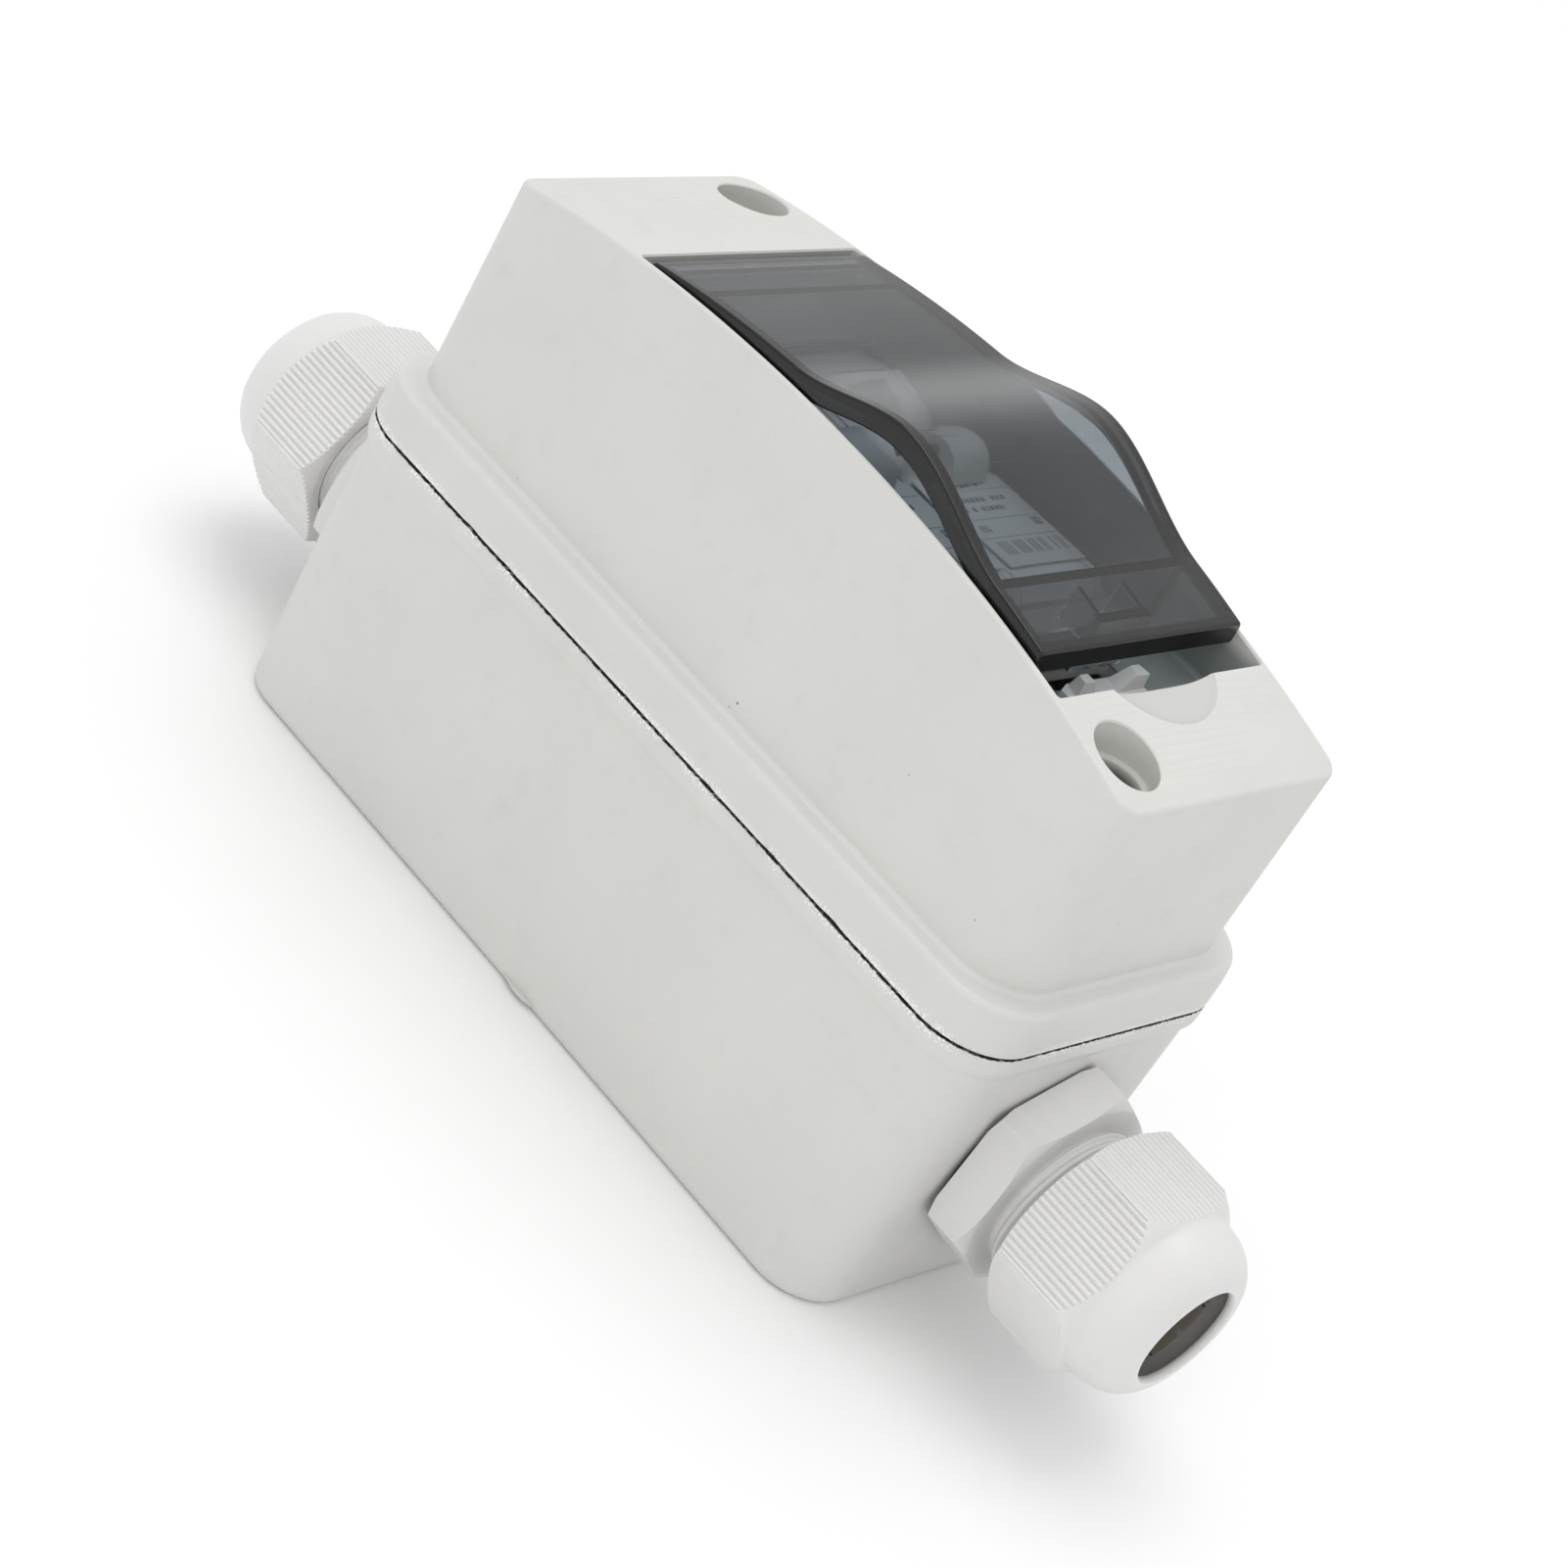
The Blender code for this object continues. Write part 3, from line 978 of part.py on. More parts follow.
def gland_body_mesh(name, flange_high, collar_high):
    """Hexagon, open thread and bored collar as one tube."""
    bore, thread, root = GLAND_BORE_RADIUS, GLAND_THREAD_RADIUS, GLAND_ROOT_RADIUS
    flange_low = GASKET_THICK
    corner = hex_corner(HEX_FLATS) - HEX_CORNER_CUT
    off_flats, off_corners, bevel = HEX_FACE_BEVEL
    rings = [round_ring(thread, -GLAND_INSIDE), round_ring(thread, flange_low),
             hex_ring(HEX_FLATS, HEX_TURN, corner - HEX_FOOT_BEVEL, flange_low),
             hex_ring(HEX_FLATS, HEX_TURN, corner, flange_low + HEX_FOOT_BEVEL),
             hex_ring(HEX_FLATS, HEX_TURN, corner, flange_high - bevel),
             hex_ring(HEX_FLATS - off_flats, HEX_TURN, corner - off_corners, flange_high),
             round_ring(root, flange_high)]
    for turn in range(THREAD_TURNS):
        start = flange_high + THREAD_START + turn * THREAD_PITCH
        crest_start, crest_end, crest_foot = THREAD_TOOTH
        rings += [round_ring(root, start), round_ring(thread, start + crest_start),
                  round_ring(thread, start + crest_end), round_ring(root, start + crest_foot)]
    out, down = GLAND_BORE_BEVEL
    rings += [round_ring(root, collar_high), round_ring(bore + out, collar_high),
              round_ring(bore, collar_high - down), round_ring(bore, -GLAND_INSIDE)]
    return tube_mesh(name, rings)


def locknut_mesh(name):
    high = -(WALL + LOCKNUT_OFF_WALL)
    low = high - LOCKNUT_THICK
    bore = GLAND_THREAD_RADIUS + GAP
    return tube_mesh(name, [hex_ring(LOCKNUT_FLATS, LOCKNUT_TURN, LOCKNUT_CORNER - LOCKNUT_BEVEL, low),
                            hex_ring(LOCKNUT_FLATS, LOCKNUT_TURN, LOCKNUT_CORNER, low + LOCKNUT_BEVEL),
                            hex_ring(LOCKNUT_FLATS, LOCKNUT_TURN, LOCKNUT_CORNER, high),
                            round_ring(bore, high), round_ring(bore, low)])


def dome_nut_mesh(name, rear):
    """Hexagonal skirt that runs into a dome with the cable's mouth in it."""
    front = rear + NUT_HEX_LENGTH
    tip = rear + NUT_LENGTH
    thread = GLAND_THREAD_RADIUS + GAP
    corner = hex_corner(NUT_FLATS) - NUT_CORNER_CUT
    rings = [hex_ring(NUT_FLATS, NUT_TURN, NUT_FLATS / 2 - NUT_CORNER_CUT, rear),
             hex_ring(NUT_FLATS, NUT_TURN, corner, rear + NUT_BEVEL),
             hex_ring(NUT_FLATS, NUT_TURN, corner, front - NUT_BEVEL),
             hex_ring(NUT_FLATS, NUT_TURN, NUT_FLATS / 2 - NUT_FRONT_CUT, front)]
    rings += [round_ring(radius * MM, front + reach * MM, NUT_TURN) for radius, reach in NUT_DOME]
    rings += [round_ring(radius * MM, tip - back * MM, NUT_TURN) for radius, back in NUT_LIP]
    rings += [round_ring(thread, tip - NUT_THREAD_BACK, NUT_TURN), round_ring(thread, rear, NUT_TURN)]
    return tube_mesh(name, rings)


def build_gland(end, sign):
    flange_high = GASKET_THICK + HEX_THICK
    collar_high = flange_high + COLLAR_LENGTH
    bore, thread = GLAND_BORE_RADIUS, GLAND_THREAD_RADIUS + GAP

    body = add_part("gland_body_" + end, gland_body_mesh("gland_body_" + end, flange_high, collar_high),
                    GLAND_WHITE, 0.4)
    locknut = add_part("gland_locknut_" + end, locknut_mesh("gland_locknut_" + end), GLAND_WHITE, 0.4)
    nut = add_part("gland_nut_" + end, dome_nut_mesh("gland_nut_" + end, flange_high + NUT_OFF_HEX),
                   GLAND_WHITE, 0.4)

    low, high = GASKET_FIT, GASKET_THICK - GASKET_FIT
    gasket = turned_part("gland_gasket_" + end,
                         [(GASKET_RADIUS, high), (GASKET_RADIUS, low), (thread, low), (thread, high)],
                         RUBBER_BLACK, 0.9, steps=24, closed=True)
    low, high = collar_high - SEAL_BELOW, collar_high + SEAL_ABOVE
    seal_bore, seal_edge = SEAL_RADII
    seal = turned_part("gland_seal_" + end,
                       [(seal_edge, high), (bore - GAP, high - SEAL_TAPER), (bore - GAP, low),
                        (seal_bore, low), (seal_bore, high)],
                       RUBBER_BLACK, 0.8, steps=24, closed=True)
    low = collar_high + GAP
    claw_profile = [(radius, low + height) for radius, height in CLAW_OUTSIDE]
    claw_profile += [(bore + CLAW_CLEAR, low), (bore + CLAW_CLEAR, low + CLAW_HEIGHT)]
    claw = turned_part("gland_claw_" + end, claw_profile, GLAND_WHITE, 0.45, steps=24, closed=True)
    low += CLAW_HEIGHT + GAP
    high = low + SLIP_RING_THICK
    inner, outer = SLIP_RING_RADII
    slip_ring = turned_part("gland_slip_ring_" + end,
                            [(outer, high), (outer, low), (inner, low), (inner, high)],
                            GLAND_WHITE, 0.4, steps=24, closed=True)
    for part in (body, gasket, locknut, seal, claw, slip_ring, nut):
        place_gland_piece(part, sign)


def shade_round_pieces():
    for part in PARTS.objects:
        if part.type == "MESH" and len(part.data.polygons) > 0:
            part.data.shade_smooth()
            part.data.set_sharp_from_angle(angle=math.radians(35))


def main():
    build_base()
    build_lid()
    build_window()
    build_lid_screws()
    build_rail()
    middles = {side: build_pole(side, sign * POLE_PITCH / 2) for side, sign in SIDES}
    build_levers(middles)
    for end, sign in ENDS:
        build_gland(end, sign)
    shade_round_pieces()


main()
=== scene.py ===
import json
from math import cos, pi, radians, sin, sqrt, tan

import bmesh
import bpy
from mathutils import Matrix, Vector


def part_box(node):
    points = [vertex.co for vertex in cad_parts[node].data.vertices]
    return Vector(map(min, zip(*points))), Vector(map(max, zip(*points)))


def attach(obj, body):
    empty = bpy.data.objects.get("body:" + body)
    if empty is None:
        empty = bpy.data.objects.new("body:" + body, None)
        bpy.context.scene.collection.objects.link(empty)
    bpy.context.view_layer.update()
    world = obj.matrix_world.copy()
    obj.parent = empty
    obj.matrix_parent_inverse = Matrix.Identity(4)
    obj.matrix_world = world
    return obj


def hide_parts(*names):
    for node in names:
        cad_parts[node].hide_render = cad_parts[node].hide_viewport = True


# Looks of a small weatherproof breaker box: grey moulded shell, smoked window, cable glands.
# Lengths are in millimetres, and MM turns them into metres. +Z points away from the wall.

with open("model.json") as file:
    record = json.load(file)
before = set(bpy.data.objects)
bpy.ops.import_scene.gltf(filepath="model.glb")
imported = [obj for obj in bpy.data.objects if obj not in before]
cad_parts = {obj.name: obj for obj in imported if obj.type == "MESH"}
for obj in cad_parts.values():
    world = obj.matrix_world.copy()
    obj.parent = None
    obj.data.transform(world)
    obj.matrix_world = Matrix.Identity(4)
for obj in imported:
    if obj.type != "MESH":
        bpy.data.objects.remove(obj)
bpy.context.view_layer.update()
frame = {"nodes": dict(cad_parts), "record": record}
MM = 0.001
BODY_OF = {node: body for body, nodes in frame["record"]["behaviour"]["bodies"].items() for node in nodes}


def low(node):
    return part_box(node)[0] / MM


def high(node):
    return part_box(node)[1] / MM


def middle(node):
    return (low(node) + high(node)) / 2


# ---- sizes taken from the frame
RIM_X, RIM_Y = high("base_case").x, high("base_case").y
BASE_TOP = high("base_case").z
LID_FOOT_EDGE = low("lid").z
ARCH_PEAK = high("lid").z
GLAND_Z = middle("gland_nut_lower").z
GASKET_GAP = 0.12
END_WALL_Y = low("gland_gasket_upper").y - GASKET_GAP
SCREWS = {end: middle("lid_screw_" + end) for end in ("lower", "upper")}
SIDES = ("left", "right")
ENDS = {"lower": -1, "upper": 1}
HINGE = middle("window_hinge_pin")
RAIL_SCREW_X = middle("rail_screw_right").x

# ---- walls of the shell: a size is half width, half length and corner radius
SEAM_Z = 48.5
RIM = (RIM_X, RIM_Y, 11.0)
BASE_FOOT = (28.45, 66.65, 9.0)  # at the back
BASE_HEAD = (29.3, 68.1, 10.2)  # at the seam's level, without the rim
BASE_WALL = 2.5
BASE_FLOOR_Z = 3.0
FLOOR_FILLET = 1.0
BACK_ROUND = 1.3
BASE_LEVELS = (15.0, 30.0)
BLEND_LOW_Z, BLEND_HIGH_Z, BLEND_STEPS = 43.6, 46.0, 7
LID_FOOT = (26.6, 65.6, 10.0)
LID_HEAD = (23.9, 64.8, 3.2)
LID_FOOT_Z, LID_HEAD_Z = 56.0, 89.0
LID_WALL = 2.2
LID_CEILING_Z = 86.0
LID_INNER_LEVELS = (54.6, 70.0, LID_CEILING_Z)
LID_RIM_WALL, LID_RIM_TOP_Z, LID_RIM_CEILING_Z = 3.2, 52.5, 53.0
SHELF_Z, SHELF_FILLET = 56.1, 0.9
SHOULDER_ROUND, SHOULDER_INSET = 1.2, 0.15
TOP_ROUND = 0.55
ARCH_RADIUS, ARCH_PEAK_Y = 265.0, 2.5
CLEAR_Z = ARCH_PEAK + 3.0  # a level that every cutter of the front reaches
NEAR_RING, FAR_RING = 0.2, 1.0  # distances of the rings that hold a round in shape
MIN_CORNER = 0.3
OVERLAP = 1.0  # how far a joined piece reaches into its neighbour

# ---- edge of the seam
SEAM_ROUND = 0.14
GROOVE_OUTER, GROOVE_INNER, GROOVE_DEPTH = 1.15, 2.65, 1.6
# Chips in the lid's edge along the seam: side of the box, place along it, half length and depth.
SEAM_CHIPS = (("x", 39.2, 2.0, 0.16), ("x", 31.0, 1.5, 0.12), ("x", 4.0, 1.5, 0.1), ("x", -14.0, 1.4, 0.12),
              ("x", -27.9, 1.8, 0.16), ("x", -40.4, 2.4, 0.2), ("y", -5.2, 2.6, 0.2), ("y", -0.6, 1.3, 0.15))
CHIP_BAND = 1.5  # only edges this close to a side's plane are chipped
CHIP_RAGGED, CHIP_WAVE = 0.25, 9.0

# ---- posts, holes and lugs of the base; an outline holds (radius, level)
RAIL_POST = ((4.6, 2.5), (3.6, 4.0), (3.4, 17.7))
RAIL_PILOT = ((1.7, 5.0), (1.7, 18.7))
LID_BOSS = ((5.0, 2.5), (4.0, 4.5), (3.9, 46.0))
LID_PILOT = ((2.05, 20.0), (2.05, 45.4), (2.7, 46.5))
MOUNTING_HOLE = ((4.6, -1.0), (4.6, 0.001), (2.5, 1.2), (2.3, 2.0), (2.3, 4.5))
MOUNTING_HOLE_Y = 50.0
GLAND_ENTRY = ((12.65, -6.0), (12.65, -0.3), (13.0, 0.05), (13.0, 4.0))  # radius, way out of the end wall
# Low lug at the foot of each long side: outline of (place along the side, reach), then its section.
LUG = ((-8.0, 28.2), (-7.0, 28.9), (-5.4, 29.45), (-3.4, 29.5), (-1.6, 29.0), (0.4, 28.2))
LUG_ROOT_X, LUG_LEAN = 27.0, 0.9
LUG_FOOT_Z, LUG_EDGE_Z, LUG_ROOT_Z = 0.3, 1.25, 1.3

# ---- front of the lid
POCKET_X, POCKET_LOW, POCKET_HIGH, POCKET_Z = 22.6, -46.9, 41.2, 83.5
POCKET_CORNER, POCKET_FILLET, POCKET_LIP = 0.5, 1.0, 0.25
TRAY_SIDE, TRAY_END, TRAY_FLOOR, TRAY_CORNER = 0.7, 2.0, 2.2, 1.0
NOSE_SLOT = ((-18.6, -23.2, 79.0), (18.6, 23.2, 85.0), 0.8)  # corners and corner radius
CATCH_SLOT = ((-8.0, -38.4, 79.0), (8.0, -34.6, 85.0), 0.5)
WELL_RADIUS, WELL_SEAT_Z, WELL_SEAT_THICK, WELL_TUBE, WELL_LIP = 5.25, 58.0, 3.0, 6.6, 0.22
LEDGE_DEPTH, LEDGE_RADIUS = 4.0, 4.2
SHANK_HOLE = ((2.2, 50.0), (2.2, 60.0))
SOCKET_RADIUS, SOCKET_REACH = 1.15, 23.1
# Finger dish in front of the pocket: flat in the middle, with a steep side and a soft lip.
SCOOP_Y, SCOOP_RADIUS, SCOOP_DEPTH = -41.2, 12.5, 1.45
SCOOP_POWER, SCOOP_EDGE_DROP = 6, 0.12
SCOOP_SHARES = (0.05, 0.3, 0.5, 0.65, 0.76, 0.84, 0.9, 0.945, 0.975, 0.992)
SCOOP_LIP = ((0.03, -0.07), (0.14, 0.01))  # past the radius, over the front

# ---- window
WINDOW_X, WINDOW_LOW, WINDOW_HIGH = 22.2, -41.5, 39.2
SHEET, RIM_DEPTH, RIM_THICK = 2.0, 3.2, 1.4
CROWN_Z, CROWN_Y, CROWN_RADIUS = 98.6, -1.5, 187.5
HUMP_RISE = 4.7
HUMP_REAR_Y, HUMP_REAR_RUN = 12.0, 20.5
HUMP_FRONT_Y, HUMP_FRONT_RUN = -31.0, 22.5
SHEET_ROUND, FRONT_ROUND, REAR_ROUND = 0.45, 0.4, 0.3
END_NARROWING = 0.3  # how far a rounded end draws in, as a share of its drop
RIM_STEP, SHEET_START = 0.01, 0.5
RIM_BEVEL, INNER_BEVEL = (0.2, 0.25), 0.3
SHEET_SHARES = (0.6, 0.3)  # points across the sheet, as shares of its half width
WINDOW_STEPS = 84
SKIRT_X, SKIRT_LOW, SKIRT_HIGH, SKIRT_THICK = 20.4, -30.4, 31.0, 1.5
CROSS_WALL_INSET = 0.05
TONGUE_X, TONGUE_Y, TONGUE_RISE = 5.6, (-37.4, -36.0), 0.5
GUSSET_X, GUSSET_Y, GUSSET_Z = (5.2, 4.4), (-36.1, -31.5), 89.0
BARREL_RADIUS, BARREL_REACH, BORE_RADIUS, BORE_REACH = 2.3, 18.6, 1.3, 23.0
CATCH_FOOT, CATCH_ROOT, CATCH_ROUND = 1.1, 0.5, 0.22

# ---- glands: a reach is a distance out from the box's end wall
HEX_FLATS, HEX_TURN, HEX_BACK, HEX_FRONT = 30.0, radians(20.6), 0.9, 7.9
NUT_FLATS, NUT_TURN, NUT_BACK, NUT_TIP = 29.5, radians(2.0), 11.7, 34.9
RIB_PITCH, RIB_DEPTH, RIB_STEPS, RIB_POWER, RIB_MARGIN = 0.98, 0.42, 8, 1.6, 0.35
INNER_THREAD = (-9.5, 0.9, 11.6, 12.35, 1.5)  # first and last reach, root, crest, pitch
OUTER_THREAD = (8.1, 19.2, 11.65, 12.4, 2.0)
THREAD_ROW, THREAD_START, THREAD_END = 0.1, 1.2, 0.8
THREAD_FLANK, THREAD_ROOT_SHARE = 2.6, 0.15
FINGERS, FINGER_STEPS, FINGER_GAP = 10, 6, 0.08  # the gap is a share of a finger's pitch
SEAL_BORE, SEAL_RIB, SEAL_PITCH, SEAL_ROWS, SEAL_START = 7.2, 0.25, 0.6, 29, 28.8

# ---- stage
FLOOR_SIZE, FLOOR_LEVELS = (4000.0, 4000.0, 3900.0), (-6.0, -0.05)
SURROUND_STRENGTH = 0.86
LIT_PLACE = (0, 0, 50)
# Lamps: place, diameter and power.
LAMPS = {"overhead": ((150, 250, 1500), 1200, 6.5), "front_fill": ((-1300, -500, 700), 900, 2.0)}
CAMERA_TARGET, CAMERA_DISTANCE = (-16.03, -16.01, 48.5), 578.65
CAMERA_HEADING, CAMERA_TILT, CAMERA_ROLL = 60.618, 29.869, 31.443
CAMERA_LENS, CAMERA_SENSOR, CAMERA_REACH = 98.97, 36.0, 20000.0

SIDE_STEPS = 96
CORNER_STEPS = 12
WELD_GAP, SPLINTER = 0.0005, 0.0002


# ---- meshes
def linked(item):
    bpy.context.scene.collection.objects.link(item)
    return item


def new_mesh(name, points, faces):
    """Closed piece from points in millimetres, welded, with its faces pointing out."""
    mesh = bpy.data.meshes.new(name)
    mesh.from_pydata([Vector(point) * MM for point in points], [], faces)
    body = bmesh.new()
    body.from_mesh(mesh)
    bmesh.ops.remove_doubles(body, verts=body.verts, dist=WELD_GAP * MM)
    bmesh.ops.dissolve_degenerate(body, edges=body.edges, dist=SPLINTER * MM)
    bmesh.ops.recalc_face_normals(body, faces=body.faces)
    body.to_mesh(mesh)
    body.free()
    return linked(bpy.data.objects.new(name, mesh))


def skin(name, rings, caps="flat", mirror_first=False):
    """Faces between rings of equal length; caps is flat, or loop for a ring-shaped piece."""
    count = len(rings[0])
    points = [point for ring in rings for point in ring]
    faces = []
    levels = len(rings) if caps == "loop" else len(rings) - 1
    for level in range(levels):
        here, there = level * count, (level + 1) % len(rings) * count
        for step in range(count):
            after = (step + 1) % count
            faces.append((here + step, here + after, there + after, there + step))
    if caps == "flat":
        last = (len(rings) - 1) * count
        faces.append(tuple(range(last, last + count)))
        if mirror_first:
            half = count // 2
            faces += [(k, k + 1, count - 2 - k, count - 1 - k) for k in range(half - 1)]
        else:
            faces.append(tuple(range(count)))
    return new_mesh(name, points, faces)


def corner_point(step, size, steps):
    """Point number step on the +X half of a rounded rectangle, from its -Y end to its +Y end."""
    half_x, half_y, radius = size
    corner, side = steps
    if step <= corner or step >= corner + side:
        sign = -1 if step <= corner else 1
        turn = step if sign < 0 else step - corner - side
        angle = pi / 2 * (turn / corner - (1 if sign < 0 else 0))
        return (half_x - radius + radius * cos(angle),
                sign * (half_y - radius) + radius * sin(angle))
    return half_x, (2 * (step - corner) / side - 1) * (half_y - radius)


def ring(size, height, steps=(CORNER_STEPS, SIDE_STEPS), centre=(0, 0)):
    """Closed ring; size is three numbers or size(z), height a level or height(y)."""
    right = []
    for step in range(2 * steps[0] + steps[1] + 1):
        level = height
        if callable(height):
            guess = size(LID_HEAD_Z) if callable(size) else size
            level = height(centre[1] + corner_point(step, guess, steps)[1])
        x, y = corner_point(step, size(level) if callable(size) else size, steps)
        right.append((x, y, level))
    left = [(-x, y, z) for x, y, z in reversed(right)]
    return [(x + centre[0], y + centre[1], z) for x, y, z in right + left]


def disc(radius, height, centre, corner=16):
    return ring(round_size(radius), height, (corner, 1), centre)


def round_size(radius):
    return radius, radius, radius


def lathe(name, profile, axis_point, direction, steps=96, caps="flat"):
    """Turned piece: profile holds (radius, distance along direction)."""
    along = Vector(direction)
    across = along.orthogonal().normalized()
    third = along.cross(across)
    rings = []
    for radius, reach in profile:
        centre = Vector(axis_point) + along * reach
        rings.append([centre + (across * cos(turn) + third * sin(turn)) * radius
                      for turn in (2 * pi * step / steps for step in range(steps))])
    return skin(name, rings, caps)


def upright(name, outline, x, y, steps):
    """Turned piece on an upright axis; the outline holds (radius, level)."""
    return lathe(name, outline, (x, y, 0), (0, 0, 1), steps)


def hinge_rod(name, radius, reach, steps):
    """Rod on the window's hinge axis, reach long to each side of the middle."""
    return lathe(name, [(radius, -reach), (radius, reach)], (0, HINGE.y, HINGE.z), (1, 0, 0), steps)


def block(name, low_corner, high_corner, radius):
    """Box with rounded upright corners."""
    centre = [(a + b) / 2 for a, b in zip(low_corner, high_corner)]
    half = [(b - a) / 2 for a, b in zip(low_corner, high_corner)]
    rings = [ring((half[0], half[1], radius), z, (3, 1), centre) for z in (low_corner[2], high_corner[2])]
    return skin(name, rings)


def boolean(piece, others, operation="DIFFERENCE"):
    """Cut or join the piece with each of the others in turn, and remove them."""
    for other in others:
        modifier = piece.modifiers.new(operation, "BOOLEAN")
        modifier.operation = operation
        modifier.solver = "EXACT"
        modifier.object = other
        shown = piece.evaluated_get(bpy.context.evaluated_depsgraph_get())
        mesh = bpy.data.meshes.new_from_object(shown)
        piece.modifiers.clear()
        piece.data = mesh
        bpy.data.objects.remove(other)


def smooth(piece, angle=35.0):
    """Smooth shading with sharp edges where faces meet at more than the angle."""
    piece.data.shade_smooth()
    piece.data.set_sharp_from_angle(angle=radians(angle))
    even_shading(piece)


def even_shading(piece):
    modifier = piece.modifiers.new("even_shading", "WEIGHTED_NORMAL")
    modifier.keep_sharp = True


def soften(piece, width, segments=3, angle=30.0):
    """Round the edges with live modifiers, which leave the mesh itself as it is."""
    weld = piece.modifiers.new("weld", "WELD")
    weld.merge_threshold = 0.001 * MM
    bevel = piece.modifiers.new("rounded_edges", "BEVEL")
    bevel.width = width * MM
    bevel.segments = segments
    bevel.limit_method = "ANGLE"
    bevel.angle_limit = radians(angle)
    bevel.harden_normals = False
    piece.data.shade_smooth()
    even_shading(piece)


def paint(piece, finish):
    piece.data.materials.clear()
    piece.data.materials.append(FINISHES[finish])


def place(piece, node, slot, finish=None):
    """The piece stands for a CAD node: same body, and the given finish or else the one named by slot."""
    paint(piece, finish or slot)
    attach(piece, BODY_OF[node])
    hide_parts(node)


def lerp(a, b, share):
    return a + (b - a) * share


def between(first, last, share):
    return tuple(lerp(a, b, share) for a, b in zip(first, last))


def inset(size, depth):
    return size[0] - depth, size[1] - depth, max(size[2] - depth, MIN_CORNER)


def rolls(radius, count):
    """Points of a quarter round between two faces, as distances in from each of the faces."""
    angles = [pi / 2 * step / count for step in range(count + 1)]
    return [(radius * (1 - cos(angle)), radius * (1 - sin(angle))) for angle in angles]


def ease(share):
    """0 to 1 with a soft start and end."""
    share = min(max(share, 0.0), 1.0)
    return share * share * (3 - 2 * share)


# ---- node materials
class Finish:
    """A node material being put together around one Principled shader."""

    def __init__(self, name):
        self.name = name
        self.material = bpy.data.materials.new(name)
        self.material.use_nodes = True
        self.tree = self.material.node_tree
        self.tree.nodes.clear()
        self.shader = self.add("BsdfPrincipled")
        self.output = self.add("OutputMaterial", {"Surface": self.shader.outputs[0]})
        self.where = self.add("TexCoord").outputs["Object"]

    def add(self, kind, inputs=None, **settings):
        """A new shader node; its inputs are links or plain values."""
        node = self.tree.nodes.new("ShaderNode" + kind)
        for key, value in settings.items():
            setattr(node, key, value)
        self.feed(node, inputs or {})
        return node

    def feed(self, node, inputs):
        for key, value in inputs.items():
            if isinstance(value, bpy.types.NodeSocket):
                self.tree.links.new(value, node.inputs[key])
            else:
                node.inputs[key].default_value = value

    def maths(self, operation, first, second=0.0, third=0.0, clamp=False):
        inputs = {0: first, 1: second, 2: third}
        return self.add("Math", inputs, operation=operation, use_clamp=clamp).outputs[0]

    def product(self, *values):
        total = values[0]
        for value in values[1:]:
            total = self.maths("MULTIPLY", total, value)
        return total

    def remap(self, value, low_in, high_in, low_out, high_out):
        inputs = {"Value": value, "From Min": low_in, "From Max": high_in,
                  "To Min": low_out, "To Max": high_out}
        return self.add("MapRange", inputs).outputs[0]

    def fade(self, value, whole, gone, most=1.0):
        """most where the value is at whole and beyond, and 0 from gone on."""
        return self.remap(value, gone, whole, 0.0, most)

    def coordinates(self):
        """The place on the object in millimetres, as three values."""
        parts = self.add("SeparateXYZ", {0: self.where})
        return [self.maths("DIVIDE", parts.outputs[axis], MM) for axis in range(3)]

    def stretched(self, scale, turn=(0.0, 0.0, 0.0)):
        inputs = {"Vector": self.where, "Scale": scale, "Rotation": turn}
        return self.add("Mapping", inputs).outputs[0]

    def noise(self, size, detail=2.0, vector=None, roughness=0.5):
        """Noise whose blotches are about size millimetres across."""
        inputs = {"Vector": vector or self.where, "Scale": 1 / (size * MM),
                  "Detail": detail, "Roughness": roughness}
        return self.add("TexNoise", inputs).outputs[0]

    def blend(self, factor, first, second, mode="MIX"):
        inputs = {0: factor, 6: first, 7: second}
        node = self.add("Mix", inputs, data_type="RGBA", blend_type=mode)
        return node.outputs[2]

    def specks(self, spacing, size, share):
        """1 inside small round dots that sit in some of the cells, otherwise 0."""
        cells = self.add("TexVoronoi", {"Vector": self.where, "Scale": 1 / (spacing * MM)})
        chosen = self.add("SeparateColor", {0: cells.outputs["Color"]})
        inside = self.fade(cells.outputs["Distance"], 0.4 * size / spacing, 0.6 * size / spacing)
        return self.product(inside, self.maths("LESS_THAN", chosen.outputs[0], share))

    def streaks(self, length, width, cut, turn):
        """1 along thin scattered scratches, otherwise 0."""
        vector = self.stretched((1.0, length / width, length / width), turn)
        return self.fade(self.noise(length, 1.0, vector), cut + 0.03, cut)

    def bump(self, height, depth, strength=1.0, under=None):
        inputs = {"Height": height, "Distance": depth * MM, "Strength": strength}
        if under is not None:
            inputs["Normal"] = under
        return self.add("Bump", inputs).outputs[0]

    def edge_wear_and_highlight(self, low_value=0.53, high_value=0.6):
        pointed = self.add("NewGeometry").outputs["Pointiness"]
        return self.fade(pointed, high_value, low_value)

    def shade(self):
        """What feeds the base colour so far."""
        return self.shader.inputs["Base Color"].links[0].from_socket


# Sizes of what a moulded or machined surface carries: blotches, stains, scratches and lines.
CLOUD, GRIME, SCRATCH, SCRATCH_WIDTH = 22.0, 5.0, 9.0, 0.35
SPECKS = ((9.0, 0.42), (5.3, 0.24))  # spacing and size
SPECK_COLOUR, SPECK_STRENGTH = (0.09, 0.08, 0.065), 0.7
# The edge lift is partly wear, partly a painted highlight along edges.
SCUFF_LIFT, EDGE_WEAR_AND_HIGHLIGHT_LIFT = 1.12, 1.25  # how much lighter than the colour
TOOL_LINE, TARNISH, PIT, PIT_SPACING = 1.2, 3.5, 0.25, 1.1


